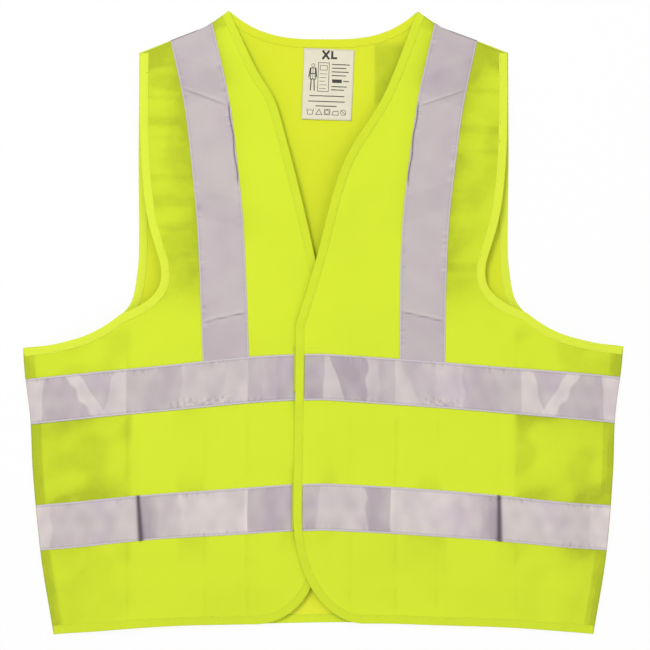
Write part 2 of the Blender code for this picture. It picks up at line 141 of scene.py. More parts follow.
class Paint:
    """A material's node tree with one method that adds a node of any kind."""

    def __init__(self, name, **fixed):
        self.material = bpy.data.materials.new(name)
        self.material.use_nodes = True
        self.tree = self.material.node_tree
        self.shader = self.tree.nodes["Principled BSDF"]
        for socket, value in fixed.items():
            self.shader.inputs[socket.replace("_", " ")].default_value = value

    def node(self, kind, settings=None, sockets=None, output=0):
        """Adds a node, applies its settings, fills its sockets, and gives one of its outputs."""
        node = self.tree.nodes.new("ShaderNode" + kind)
        for name, value in (settings or {}).items():
            setattr(node, name, value)
        for name, value in (sockets or {}).items():
            if isinstance(value, Value):
                self.tree.links.new(value.socket, node.inputs[name])
            else:
                node.inputs[name].default_value = value
        return Value(self, node.outputs[output])

    def blend(self, share, first, second):
        """Mixes two colours."""
        settings = {"data_type": "RGBA", "clamp_factor": True}
        return self.node("Mix", settings, {0: share, 6: first, 7: second}, 2)

    def noise(self, place, scale, detail, roughness=0.5):
        """Cloudy noise with so many clouds to the metre."""
        sockets = {"Vector": place, "Scale": scale, "Detail": detail, "Roughness": roughness}
        return self.node("TexNoise", {}, sockets)

    def mark(self, name):
        """A value painted on the mesh."""
        return self.node("Attribute", {"attribute_name": name}, {}, 2)

    def flat(self):
        """A place on the piece's own flat pattern."""
        return self.node("UVMap", {"uv_map": "pattern"})

    def ways(self, place):
        """The two directions of a flat pattern, each as a value."""
        parts = self.node("SeparateXYZ", {}, {0: place}).socket.node
        return Value(self, parts.outputs[0]), Value(self, parts.outputs[1])

    def feed(self, socket, value):
        """Joins a value to one of the shader's sockets."""
        self.tree.links.new(value.socket, self.shader.inputs[socket])

    def bump(self, height, depth, strength):
        """Relief: a height from 0 to 1, the depth that stands for 1, and how much of it shows."""
        sockets = {"Height": height, "Distance": depth, "Strength": strength}
        self.feed("Normal", self.node("Bump", {}, sockets))


def printed(red, green, blue):
    """A colour as a screen shows it, from 0 to 255, turned into the light it stands for."""
    share = np.array([red, green, blue]) / 255.0
    light = np.where(share > 0.04045, ((share + 0.055) / 1.055) ** 2.4, share / 12.92)
    return (*light.tolist(), 1.0)


TABLE_REACH = 4.0
TABLE_GAP = 0.0003
SHOWN_WHITE = 0.90


def white_table():
    """The table shows white to the eye and to reflections, and keeps part of the soft shadow."""
    paint = Paint("white_table", Roughness=0.9)
    paint.shader.inputs["Base Color"].default_value = printed(244, 244, 244)
    tree = paint.tree
    kinds = "Is Camera Ray", "Is Glossy Ray", "Is Transmission Ray"
    rays = [paint.node("LightPath", {}, {}, kind) for kind in kinds]
    seen = (rays[0] + rays[1] + rays[2]).held() * SHOWN_WHITE
    glow = paint.node("Emission", {}, {"Strength": 1.0})
    surface = Value(paint, paint.shader.outputs[0])
    both = paint.node("MixShader", {}, {0: seen, 1: surface, 2: glow})
    tree.links.new(both.socket, tree.nodes["Material Output"].inputs["Surface"])
    corners = [(-1, -1), (1, -1), (1, 1), (-1, 1)]
    level = low.z - TABLE_GAP
    mesh = bpy.data.meshes.new("table")
    mesh.from_pydata([(x * TABLE_REACH, y * TABLE_REACH, level) for x, y in corners], [],
                     [(0, 1, 2, 3)])
    mesh.materials.append(paint.material)
    table = bpy.data.objects.new("table", mesh)
    bpy.context.scene.collection.objects.link(table)


ROOM_LIGHT = 0.55


def pale_room():
    """An even pale room: it lights at ROOM_LIGHT and shows white."""
    world = bpy.data.worlds.new("pale_room")
    bpy.context.scene.world = world
    world.use_nodes = True
    tree = world.node_tree
    background = tree.nodes["Background"]
    path = tree.nodes.new("ShaderNodeLightPath")
    scale = tree.nodes.new("ShaderNodeMath")
    scale.operation = "MULTIPLY_ADD"
    scale.inputs[1].default_value = 1.0 - ROOM_LIGHT
    scale.inputs[2].default_value = ROOM_LIGHT
    tree.links.new(path.outputs["Is Camera Ray"], scale.inputs[0])
    tree.links.new(scale.outputs[0], background.inputs["Strength"])
    background.inputs["Color"].default_value = (1.0, 1.0, 1.0, 1.0)


white_table()
pale_room()


# ---------------------------------------------------------------- pattern
# The outline of the vest as it is cut: half of the back, and the two fronts, which differ only in
# how far each reaches over the middle. The sizes are the frame's; the curves are the cutter's.

HEM_LINE = low.y
CHEST_X = high.x
LENGTH = high.y - low.y
UNDERARM_Y = 0.3120
SHOULDER_Y = 0.6310
HEM_X = 0.2940
HEM_RISE = 0.0135
SHOULDER_X = 0.2015
SHOULDER_BEND = (0.1280, 0.6595)
NECK_X = 0.1020
BACK_NECK_DROP = 0.0308
HALF_CUT = 0.00015
FOLD_X = abs(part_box("left_front_panel")[0].x) - HALF_CUT
FREE_X = {1: -0.0310, -1: 0.0060}
CORNER = {1: (0.0760, 0.1165), -1: (0.0690, 0.0720)}
V_DEPTH = {1: 0.3430, -1: 0.2830}
V_SHAPE = {
    1: ((0.0, 0.0), (0.28, 0.27), (0.61, 0.49), (0.83, 0.79), (1.0, 1.0)),
    -1: ((0.0, 0.0), (0.30, 0.22), (0.51, 0.34), (0.65, 0.50), (0.85, 0.77), (1.0, 1.0)),
}
SIDES = ((1, "left"), (-1, "right"))


CURVE_STEPS = 12


def through(points):
    """A smooth curve through points: each span is the cubic whose ends follow the neighbours."""
    p = np.array(points, dtype=float)
    p = np.vstack([2 * p[0] - p[1], p, 2 * p[-1] - p[-2]])
    t = np.linspace(0, 1, CURVE_STEPS, endpoint=False)[:, None, None]
    a, b, c, d = p[:-3], p[1:-2], p[2:-1], p[3:]
    lean_b, lean_c = (c - a) / 2, (d - b) / 2
    spans = ((2 * t ** 3 - 3 * t ** 2 + 1) * b + (t ** 3 - 2 * t ** 2 + t) * lean_b
             + (3 * t ** 2 - 2 * t ** 3) * c + (t ** 3 - t ** 2) * lean_c)
    return np.vstack([spans.transpose(1, 0, 2).reshape(-1, 2), p[-2:-1]])


def evenly(path, spacing):
    """The path with points at even distances along it."""
    length = np.concatenate([[0], np.cumsum(np.linalg.norm(np.diff(path, axis=0), axis=1))])
    at = np.linspace(0, length[-1], max(2, round(length[-1] / spacing)) + 1)
    return np.stack([np.interp(at, length, path[:, 0]), np.interp(at, length, path[:, 1])], axis=1)


def soft_step(t):
    """0 below 0, 1 above 1, and a smooth rise between."""
    t = np.clip(t, 0, 1)
    return t * t * (3 - 2 * t)


def window(t, start, end, blur):
    """1 between start and end, and 0 outside, with a soft edge inside each."""
    return soft_step((t - start) / blur) * soft_step((end - t) / blur)


def bell(distance, width):
    """1 at distance 0, falling away to both sides as exp(-(d / width)^2)."""
    return np.exp(-(distance / width) ** 2)


def side_edge():
    """From the hem corner up to the underarm."""
    shape = ((0, 0), (0.27, 0.44), (0.55, 0.67), (0.75, 0.74), (0.91, 0.93), (1, 1))
    return through([(HEM_X + b * (CHEST_X - HEM_X), a * UNDERARM_Y) for a, b in shape])


SCOOP_Y = 0.3860
SCOOP_UPPER = 0.0520
SCOOP_LOWER = 0.0370


def armhole(scoop=0.0):
    """From the underarm up to the shoulder tip.

    A front is scooped further in than the back: above its deepest place the scoop fades as
    1 / (1 + t^2), and below it as 1 - t^2, with t counted in the reach of that side.
    """
    points = [(CHEST_X, UNDERARM_Y), (0.2920, 0.3160), (0.2570, 0.3262), (0.2300, 0.3420),
              (0.2110, 0.3610), (0.2035, 0.3900), (0.2005, 0.4300), (0.2010, 0.5300),
              (SHOULDER_X, SHOULDER_Y)]
    path = through(points)
    above = path[:, 1] - SCOOP_Y
    upper = 1 / (1 + (above / SCOOP_UPPER) ** 2)
    lower = np.clip(1 - (above / SCOOP_LOWER) ** 2, 0, 1)
    path[:, 0] -= scoop * np.where(above > 0, upper, lower)
    return path


FRONT_SCOOP = 0.0280
BACK_SIDE = np.vstack([side_edge()[:-1], armhole()])
FRONT_SIDE = np.vstack([side_edge()[:-1], armhole(FRONT_SCOOP)])


def side_x(y, outline):
    """Half width of an outline at a height."""
    return np.interp(y, outline[:, 1], outline[:, 0])


TAPE_WIDTH = 0.0500
TAPE_BOW_POWER = 1.3
# Each cross tape: the height of its middle at the side seam, and how far it bows up.
TAPE_MIDDLES = {"chest": (0.2530, 0.0270), "waist": (0.1150, 0.0247)}
BRACE_PATH = ((0.1035, 0.2400), (0.1063, 0.3030), (0.1100, 0.4300), (0.1160, 0.5000),
              (0.1260, 0.5760), (0.1435, 0.6530), (0.1480, 0.6730))


def tape_y(x, tape):
    """Middle of a cross tape: side height + bow (1 - |x / chest|^1.3)."""
    side_y, bow = TAPE_MIDDLES[tape]
    return side_y + bow * (1 - np.abs(x / CHEST_X) ** TAPE_BOW_POWER)


def brace_x(y):
    """Middle of a brace, on the left."""
    route = through(BRACE_PATH)
    return np.interp(y, route[:, 1], route[:, 0])


def hem_y(x):
    """The hem: a parabola, highest in the middle and zero at the side seams."""
    return np.maximum(HEM_RISE * (1 - (x / HEM_X) ** 2), 0)


def back_neck(x):
    """Height of the back neck: a cubic hollow between the two neck points."""
    return LENGTH - BACK_NECK_DROP * (1 - np.abs(x / NECK_X) ** 3)


def shoulder_y(x):
    """Height of the shoulder line: two straight runs from the tip to the neck point."""
    places = [(SHOULDER_X, SHOULDER_Y), SHOULDER_BEND, (NECK_X, LENGTH)]
    xs, ys = zip(*places[::-1])
    return np.interp(x, xs, ys)


def v_edge(side):
    """From the neck point down the V to the free edge, counted as if it were the left front."""
    reach = NECK_X - FREE_X[side]
    return through([(NECK_X - a * reach, LENGTH - b * V_DEPTH[side]) for a, b in V_SHAPE[side]])


def front_edge(side):
    """Down the V, down the free edge and round the lower corner to the hem."""
    wide, tall = CORNER[side]
    centre_x = FREE_X[side] + wide
    turn = np.linspace(0, math.pi / 2, 40)
    corner = np.stack([centre_x - wide * np.cos(turn),
                       hem_y(centre_x) + tall * (1 - np.sin(turn))], axis=1)
    return np.vstack([v_edge(side), corner])


# ---------------------------------------------------------------- how the cloth lies
# The back lies flat on the table. The fronts rise off it from the side and shoulder seams, billow a
# little, and keep the creases of the packet that the vest was folded in.

BACK_Z = 0.0009
KNIT = 0.0005
SEAM_Z = 0.0030
TORSO_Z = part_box("right_front_flap")[0].z
LAP_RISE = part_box("left_front_flap")[1].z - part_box("right_front_flap")[1].z
LAP_FLAT_X = 0.0080
SHOULDER_LINE = ((SHOULDER_X, SHOULDER_Y), SHOULDER_BEND)


def waves(x, y, seed, short, long, count):
    """Many straight waves in random directions, added up; their usual size is 1."""
    draw = np.random.default_rng(seed)
    total = np.zeros_like(x)
    for _ in range(count):
        angle, phase = draw.uniform(0, 2 * math.pi, 2)
        length = draw.uniform(short, long)
        travel = x * math.cos(angle) + y * math.sin(angle)
        total = total + np.sin(2 * math.pi * travel / length + phase)
    return total / math.sqrt(count / 2)


# Each crease: where it starts and ends, its depth, and how far to its sides it is felt.
CREASES = [
    ((-0.1600, 0.5915), (-0.1020, 0.5705), -0.0011, 0.0022),
    ((0.1600, 0.5885), (0.1150, 0.5710), -0.0010, 0.0022),
    ((-0.1300, 0.3395), (-0.0860, 0.3488), -0.0009, 0.0020),
    ((0.0830, 0.3510), (0.1290, 0.3400), -0.0009, 0.0020),
    ((-0.1420, 0.4700), (-0.0980, 0.4860), 0.0007, 0.0030),
    ((0.1380, 0.4760), (0.0960, 0.4900), 0.0007, 0.0030),
    ((-0.1500, 0.6250), (-0.1080, 0.6020), 0.0006, 0.0040),
    ((0.1520, 0.6200), (0.1100, 0.6060), 0.0006, 0.0040),
    ((-0.2010, 0.0200), (-0.2000, 0.3100), -0.0007, 0.0040),
    ((0.1940, 0.0200), (0.1910, 0.3100), -0.0007, 0.0040),
    ((-0.0832, 0.0100), (-0.0832, 0.3000), 0.0006, 0.0030),
    ((0.0777, 0.0100), (0.0770, 0.3000), 0.0006, 0.0030),
    ((-0.0870, 0.0100), (-0.0870, 0.2900), -0.0005, 0.0030),
    ((0.0815, 0.0100), (0.0810, 0.2900), -0.0005, 0.0030),
    ((-0.2120, 0.1700), (-0.1700, 0.1950), 0.0008, 0.0080),
    ((0.2100, 0.1650), (0.2600, 0.1950), 0.0008, 0.0090),
    ((0.0540, 0.4300), (0.0980, 0.5400), 0.0008, 0.0080),
    ((-0.0600, 0.4500), (-0.0900, 0.5500), 0.0008, 0.0080),
    ((0.1500, 0.4100), (0.1900, 0.4700), 0.0010, 0.0070),
    ((-0.1500, 0.4200), (-0.1880, 0.4850), 0.0010, 0.0070),
    ((0.1480, 0.3900), (0.1860, 0.4050), -0.0009, 0.0050),
    ((-0.1480, 0.3880), (-0.1860, 0.4020), -0.0009, 0.0050),
]


def crease(x, y, start, end, depth, reach):
    """A ridge or valley along a line, sharp at its crest, dying away to its sides and its ends."""
    (ax, ay), (bx, by) = start, end
    length = math.hypot(bx - ax, by - ay)
    along = ((x - ax) * (bx - ax) + (y - ay) * (by - ay)) / length
    across = ((x - ax) * (by - ay) - (y - ay) * (bx - ax)) / length
    ends = window(along, 0, length, 0.3 * length)
    return depth * ends * np.exp(-np.sqrt(across ** 2 + (0.3 * reach) ** 2) / reach)


def seam_distance(x, y):
    """Distances from the side seam and from the outer run of the shoulder seam."""
    from_side = side_x(y, side_edge()) - np.abs(x)
    (tip_x, tip_y), (bend_x, bend_y) = SHOULDER_LINE
    run, climb = tip_x - bend_x, bend_y - tip_y
    past = (np.abs(x) - tip_x) * climb + (y - tip_y) * run
    return from_side, -past / math.hypot(run, climb)


# How far in from the seams the cloth takes to rise, and how high the hem lets it.
SIDE_RISE = 0.055
SHOULDER_RISE = 0.050
HEM_SHARE = 0.32
HEM_REACH = 0.120
EDGE_DROOP = 0.0025
DROOP_REACH = 0.015


def front_z(side, x, y):
    """Underside of a front: seam height, plus the rise, the lap, the billows and the creases.

    The free edge of the left front droops wherever no tape holds it up; side 0 has no lap.
    """
    from_side, from_shoulder = seam_distance(x, y)
    rise = soft_step(from_side / SIDE_RISE) * soft_step((from_shoulder + 0.004) / SHOULDER_RISE)
    rise = rise * (HEM_SHARE + (1 - HEM_SHARE) * soft_step(y / HEM_REACH))
    loose = soft_step(from_side / 0.040) * soft_step(from_shoulder / 0.040)
    z = SEAM_Z + (TORSO_Z - SEAM_Z) * rise
    if side > 0:
        z = z + LAP_RISE * soft_step((FOLD_X - x) / (FOLD_X - LAP_FLAT_X))
        held_up = np.zeros_like(x)
        for tape in TAPE_MIDDLES:
            away = np.abs(y - tape_y(x, tape)) - TAPE_WIDTH / 2
            held_up = np.maximum(held_up, soft_step((0.030 - away) / 0.026))
        lapped = soft_step((0.350 - y) / 0.030)
        near_edge = bell(x - FREE_X[1], DROOP_REACH)
        z = z - EDGE_DROOP * lapped * (1 - held_up) * near_edge
    billow = 0.0009 * waves(x, y, 11, 0.11, 0.26, 16)
    billow = billow + 0.00018 * waves(x, y, 12, 0.03, 0.07, 26)
    for one in CREASES:
        billow = billow + crease(x, y, *one)
    return z + billow * loose


def back_z(x, y):
    """Underside of the back: flat, with slight waves where nothing presses on it."""
    open_neck = soft_step((y - 0.36) / 0.10) * soft_step((0.10 - np.abs(x)) / 0.05)
    lift = 0.5 + 0.5 * np.tanh(waves(x, y, 21, 0.05, 0.13, 14))
    return BACK_Z + 0.0002 + 0.0005 * lift * (0.3 + 0.7 * open_neck)


def slack(x, y):
    """How far the whole vest is pulled out of shape by hand: a millimetre here or there."""
    return 0.0007 * waves(x, y, 31, 0.16, 0.42, 9), 0.0007 * waves(x, y, 32, 0.14, 0.40, 9)


# ---------------------------------------------------------------- knit
# Fluorescent yellow warp knit: fine ribs along the body, a soft sheen, a slightly deeper tone where
# two layers lie together, and painted shade where the cloth turns away, in folds and beside tapes.

YELLOW = printed(213, 231, 44)
# The deeper yellow that painted shade mixes the knit towards; the closure tape's weave uses it too.
DEEP_YELLOW = printed(176, 191, 32)
WARM_YELLOW = printed(217, 227, 40)
PALE_YELLOW = printed(219, 234, 60)
# The paler yellow that painted light mixes towards, where light falls in between the fronts.
PAINTED_LIGHT_YELLOW = printed(246, 250, 66)
RIB = 0.0011
COURSE = 0.0008


def knit_paint(name, light, deep, relief):
    """Yellow knit: painted shade and painted light from the mesh, a tone drifting with a broad
    noise, ribs in relief.
    """
    paint = Paint(name, Roughness=0.82, Sheen_Weight=0.12, Sheen_Roughness=0.5,
                  Specular_IOR_Level=0.25)
    flat = paint.flat()
    across, up = paint.ways(flat)
    drift = paint.noise(flat, 9.0, 3.0)
    grain = paint.noise(flat, 900.0, 1.0)
    ribs = (across * (2 * math.pi / RIB)).sine()
    courses = (up * (2 * math.pi / COURSE) + ribs * 1.2).sine()
    mottle = paint.noise(flat, 46.0, 4.0, 0.6)
    uneven = (drift - 0.5) * 0.30 + (grain - 0.5) * 0.12
    # Painted shade from the mesh, broken up by a mottle, plus a tone that drifts at random.
    shade = paint.mark("shade") * (0.35 + mottle * 1.3) + uneven
    colour = paint.blend(shade.held(), light, deep)
    # Painted light mixes the colour towards a paler yellow.
    paint.feed("Base Color", paint.blend(paint.mark("painted_light"), colour, PAINTED_LIGHT_YELLOW))
    paint.feed("Roughness", 0.80 + (grain - 0.5) * 0.2)
    paint.bump(ribs * 0.35 + courses * 0.25 + grain * 0.5, 0.00010, relief)
    return paint.material


BODY_KNIT = knit_paint("yellow_knit", YELLOW, DEEP_YELLOW, 0.55)
INSIDE_KNIT = knit_paint("inside_knit", WARM_YELLOW, DEEP_YELLOW, 0.55)
TRIM_KNIT = knit_paint("trim_knit", PALE_YELLOW, DEEP_YELLOW, 0.5)


def lay(name, points, faces, material, marks=None, pattern=None, smooth=True):
    """Makes a mesh of points and faces, pulled by slack() and moved from pattern to frame."""
    points = np.asarray(points, dtype=float).reshape(-1, 3)
    pull_x, pull_y = slack(points[:, 0], points[:, 1])
    placed = points + np.stack([pull_x, pull_y + HEM_LINE, np.zeros_like(pull_x)], axis=1)
    mesh = bpy.data.meshes.new(name)
    mesh.from_pydata(placed.tolist(), [], faces.tolist() if hasattr(faces, "tolist") else faces)
    mesh.materials.append(material)
    for mark, values in (marks or {}).items():
        layer = mesh.attributes.new(mark, "FLOAT", "POINT")
        layer.data.foreach_set("value", np.asarray(values, dtype=np.float32).ravel())
    corner_points = np.empty(len(mesh.loops), dtype=np.int32)
    mesh.loops.foreach_get("vertex_index", corner_points)
    flat = points[:, :2] if pattern is None else np.asarray(pattern).reshape(-1, 2)
    layer = mesh.uv_layers.new(name="pattern")
    layer.uv.foreach_set("vector", flat[corner_points].astype(np.float32).ravel())
    mesh.polygons.foreach_set("use_smooth", np.full(len(mesh.polygons), smooth))
    mesh.update()
    obj = bpy.data.objects.new(name, mesh)
    bpy.context.scene.collection.objects.link(obj)
    return obj


def sheet(name, grid, thickness, material, marks=None, pattern=None, faces_up=True):
    """A closed sheet: a grid of points, a copy of it moved along the normals, and a rim between."""
    marks = marks or {}
    pattern = grid[..., :2] if pattern is None else pattern
    normal = np.cross(np.gradient(grid, axis=1), np.gradient(grid, axis=0))
    if (normal[:, :2, 2].mean() > 0) != faces_up:
        grid, pattern, normal = grid[:, ::-1], pattern[:, ::-1], -normal[:, ::-1]
        marks = {mark: values[:, ::-1] for mark, values in marks.items()}
    normal = normal / np.linalg.norm(normal, axis=-1, keepdims=True)
    rows, columns = grid.shape[:2]
    count = rows * columns
    at = np.arange(count).reshape(rows, columns)
    quads = np.stack([at[:-1, :-1], at[:-1, 1:], at[1:, 1:], at[1:, :-1]], axis=-1)
    inner = quads.reshape(-1, 4)
    loop = np.concatenate([at[0, :-1], at[:-1, -1], at[-1, :0:-1], at[:0:-1, 0]])
    ahead = np.roll(loop, -1)
    rim = np.stack([loop, ahead, ahead + count, loop + count], axis=1)
    faces = np.vstack([inner + count, inner[:, ::-1], rim])
    points = np.concatenate([grid.reshape(-1, 3), (grid + thickness * normal).reshape(-1, 3)])
    doubled = {mark: np.concatenate([v.ravel(), v.ravel()]) for mark, v in marks.items()}
    flat = np.concatenate([pattern.reshape(-1, 2), pattern.reshape(-1, 2)])
    return lay(name, points, faces, material, doubled, flat)


# Upright folds left in the knit, shown by painted shade: place and strength.
KNIT_FOLDS = ((-0.2140, 0.20), (-0.0835, 0.20), (0.0780, 0.22), (0.2090, 0.20), (-0.1290, 0.12),
              (0.1230, 0.12), (0.0300, 0.14))


def beside_tapes(x, y):
    """Closeness to the cross tapes, from below the chest tape, above and below the waist tape."""
    chest, waist = tape_y(x, "chest"), tape_y(x, "waist")
    gaps = (chest - TAPE_WIDTH / 2 - y, y - waist - TAPE_WIDTH / 2, waist - TAPE_WIDTH / 2 - y)
    return [np.exp(-np.clip(gap, 0, 1) / 0.017) * (gap > -0.004) for gap in gaps]


# How far in from the side seam each turned-in layer ends, how softly, and how much it deepens.
TURNED_IN = ((0.0078, 0.0010, 0.40), (0.0125, 0.0014, 0.46))
SHOULDER_BAND = 0.0085
CLOUDY_X = 0.205
YOKE_X = 0.115
YOKE_Y = 0.345
# Painted shade beside a brace, outside and inside it: how much deeper the knit is there, and how
# far out.
BRACE_BANKS = ((0.66, 0.013), (0.42, 0.009))


def knit_shade(x, y, front):
    """A deeper tone along the seams where layers are turned in, and painted shade beside tapes and
    folds and in the hollows near the sides.

    Terms are added up: the turned-in layers, clouds of painted shade near the sides, painted shadow
    beside the tapes, painted shade in upright folds, and on a front also the yoke and the painted
    shade strips beside the braces.
    """
    from_side, from_shoulder = seam_distance(x, y)
    below = soft_step((UNDERARM_Y - y) / 0.004)
    # A dark rim of painted shade along the very side edge, then the deeper tone of the turned-in
    # layers.
    turned = 0.5 * soft_step((0.0016 - from_side) / 0.0010)
    for width, blur, depth in TURNED_IN:
        turned = turned + depth * soft_step((width - from_side) / blur)
    shade = turned * below
    shade = shade + 0.40 * soft_step((SHOULDER_BAND - from_shoulder) / 0.003)
    blotches = 0.5 + 0.5 * np.tanh(1.4 * waves(x, y, 41, 0.035, 0.13, 22))
    outer = soft_step((np.abs(x) - CLOUDY_X) / 0.008) * soft_step((UNDERARM_Y + 0.03 - y) / 0.02)
    far = soft_step((np.abs(x) - 0.235) / 0.05)
    # Painted shadow beside the cross tapes: in clouds near the sides, and in patches further in.
    under_chest, over_waist, under_waist = beside_tapes(x, y)
    tape_shadow = 0.50 * under_chest + 0.58 * over_waist + 0.55 * under_waist * far
    low_down = soft_step((y - 0.06) / 0.04)
    cloud = 0.04 + (0.10 + 0.16 * low_down) * blotches
    shade = shade + outer * (cloud + tape_shadow * (0.6 + blotches) + 0.08 * far)
    patchy = soft_step(waves(x, y * 0.2, 43, 0.045, 0.12, 9) - 0.2)
    beside = 0.5 * under_chest + over_waist + under_waist
    shade = shade + (1 - outer) * 0.32 * patchy * beside
    # Painted shade along each upright fold: a dark line, and a shaded bank on its side towards the
    # middle.
    for place, strength in KNIT_FOLDS:
        line = 0.6 * bell(x - place - 0.0008 * np.sin(y * 70), 0.0018)
        bank = 0.45 * np.exp(-np.abs(x - place) / 0.012) * (x * place < place ** 2)
        broken = 0.35 + 0.65 * soft_step(waves(y, x * 0, 45, 0.03, 0.09, 7) + 0.6)
        shade = shade + strength * (line + bank) * broken * soft_step((YOKE_Y - y) / 0.03)
    yoke = soft_step((y - YOKE_Y) / 0.03) * soft_step((np.abs(x) - YOKE_X) / 0.03)
    streaks = soft_step(waves(y, x * 0.12, 47, 0.010, 0.034, 12) - 0.3)
    shade = shade + yoke * front * (0.16 + 0.32 * blotches + 0.24 * streaks)
    # Painted shade in strips beside each brace, outside and inside it.
    from_brace = np.abs(x) - brace_x(y)
    past_tape = np.clip(np.abs(from_brace) - TAPE_WIDTH / 2, 0, 1)
    above = soft_step((y - 0.33) / 0.08)
    outer_bank, inner_bank = (depth * np.exp(-past_tape / reach) for depth, reach in BRACE_BANKS)
    outside = outer_bank * above * (from_brace > 0)
    inner = soft_step((y - 0.585) / 0.02) + 0.55 * soft_step((y - 0.42) / 0.02)
    inside = inner_bank * inner * (from_brace < 0)
    tip = soft_step((0.026 - from_shoulder) / 0.012) * soft_step((np.abs(x) - 0.150) / 0.012)
    return np.clip(shade + front * (outside + inside + 1.2 * tip), 0, 1)


def rows_of(*stretches):
    """Heights in stretches of even spacing: each is (start, end, spacing)."""
    parts = [np.linspace(start, end, max(1, round((end - start) / gap)), endpoint=False)
             for start, end, gap in stretches]
    return np.append(np.concatenate(parts), stretches[-1][1])


ROWS = rows_of((0, 0.006, 0.0015), (0.006, UNDERARM_Y, 0.0032), (UNDERARM_Y, 0.350, 0.0012),
               (0.350, SHOULDER_Y, 0.0032))
EDGE_INSET = 0.0008
TOP_START = 0.45


# ---------------------------------------------------------------- back
# One piece of knit from hem to neck, laid on the table; its inside shows in the V and between the
# lower corners, and a back brace shows through it beside the label.

# Where a back brace shows through beside the label, and where light falls in between the fronts.
SHOWN_BRACE = ((0.053, 0.100), (0.572, 0.648))
NOTCH = (-0.018, 0.028)
NOTCH_REACH = 0.075


def back_panel():
    """Rows follow the hem low down and the shoulders and neck at the top; u runs across a row."""
    bend = SHOULDER_BEND[0] / SHOULDER_X
    neck = NECK_X / SHOULDER_X
    half = np.unique(np.concatenate([np.linspace(0, neck, 50), np.linspace(neck, bend, 14),
                                     np.linspace(bend, 1, 38)]))
    u = np.concatenate([-half[:0:-1], half])
    top_x = np.abs(u) * SHOULDER_X
    top = np.where(top_x < NECK_X, back_neck(top_x), shoulder_y(top_x)) - SHOULDER_Y
    at = ROWS[:, None]
    width = side_x(ROWS + EDGE_INSET * (ROWS > UNDERARM_Y), BACK_SIDE)[:, None]
    x = u * (width - EDGE_INSET * (at > UNDERARM_Y))
    y = at + (hem_y(x) + EDGE_INSET) * np.clip(1 - at / 0.30, 0, 1)
    y = y + (top - EDGE_INSET) * soft_step((at - TOP_START) / (SHOULDER_Y - TOP_START))
    grid = np.stack([x, y, back_z(x, y)], axis=-1)
    shade = knit_shade(x, y, 0.0)
    (left, right), (foot, head) = SHOWN_BRACE
    behind = soft_step((x - left) / 0.004) * soft_step((right - x) / 0.006)
    shade = np.maximum(shade, 0.62 * behind * window(y, foot, head, 0.010))
    # Painted light where light falls in between the lower corners of the fronts.
    from_notch = np.hypot(x - NOTCH[0], y - NOTCH[1])
    gap = 0.4 * soft_step((NOTCH_REACH - from_notch) / 0.06)
    piece = sheet("back", grid, KNIT, INSIDE_KNIT, {"shade": shade, "painted_light": gap})
    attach(piece, "shell")
    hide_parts("back_panel")
    return piece


back = back_panel()


# ---------------------------------------------------------------- fronts
# Each front is one piece of knit from the side seam to its free edge.

FOLD_REACH = 0.006
PRESSED = 0.0004


def across_fold(piece, side):
    """Bakes the piece's placement into its mesh; the fold line of its front is worked out but not
    used.
    """
    reach = side * FOLD_REACH
    fold = side * FOLD_X
    fold + reach
    fold - reach
    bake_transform(piece)


def front_panel(side, name):
    """Rows run from the free edge to the side, and u goes from 0 to 1 along each.

    The hem and the rounded corner lift the low rows, and the shoulder line bends the top ones.
    """
    edge = v_edge(side)[::-1]
    wide, tall = CORNER[side]
    free = FREE_X[side]
    rise = soft_step((ROWS - TOP_START) / (SHOULDER_Y - TOP_START))
    edge_y = ROWS + (LENGTH - SHOULDER_Y) * rise
    inner = np.interp(edge_y + 0.3 * EDGE_INSET, edge[:, 1], edge[:, 0]) + EDGE_INSET
    outer = side_x(ROWS + EDGE_INSET * (ROWS > UNDERARM_Y), FRONT_SIDE)
    outer = outer - EDGE_INSET * (ROWS > UNDERARM_Y)
    near = 1 - np.cos(np.linspace(0, math.pi / 2, 34))
    span = SHOULDER_X - NECK_X
    bend = (SHOULDER_BEND[0] - NECK_X) / span
    steps = np.concatenate([near * 0.21, np.linspace(0.21, bend, 10), np.linspace(bend, 1, 92)])
    u = np.unique(np.round(steps, 6))
    top = shoulder_y(NECK_X + u * span) - SHOULDER_Y
    at = ROWS[:, None]
    x = inner[:, None] + u * (outer - inner)[:, None]
    to_centre = np.clip((free + wide - x) / wide, 0, 1)
    centre_y = hem_y(free + wide) + tall
    corner = np.where(to_centre > 0, centre_y - tall * np.sqrt(1 - to_centre ** 2), hem_y(x))
    y = at + (corner + EDGE_INSET) * np.clip(1 - at / 0.32, 0, 1)
    y = y + (top - EDGE_INSET) * rise[:, None]
    x = side * x
    z = front_z(side, x, y) - sunk(side, x, y)
    grid = np.stack([x, y, z], axis=-1)
    piece = sheet(f"{name}_front", grid, KNIT, BODY_KNIT, {"shade": knit_shade(x, y, 1.0)})
    across_fold(piece, side)
    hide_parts(f"{name}_front_panel", f"{name}_front_flap")
    return piece


def sunk(side, x, y):
    """How far the knit is pressed down under the tapes that are sewn on it."""
    depth = np.zeros_like(x)
    for tape in TAPE_MIDDLES:
        within = TAPE_WIDTH / 2 - np.abs(y - tape_y(x, tape))
        depth = np.maximum(depth, soft_step((within - 0.002) / 0.004))
    within = TAPE_WIDTH / 2 - np.abs(np.abs(x) - brace_x(y))
    above = soft_step((y - tape_y(x, "chest")) / 0.01)
    depth = np.maximum(depth, above * soft_step((within - 0.002) / 0.004))
    return PRESSED * depth


fronts = {side: front_panel(side, name) for side, name in SIDES}


# ---------------------------------------------------------------- bindings
# Strips of the same knit, folded over every raw edge and sewn down: the back's hem and neck, the
# armholes, and one long strip down each V, round the lower corner and along the front hem.

BINDING_WIDTH = 0.0092


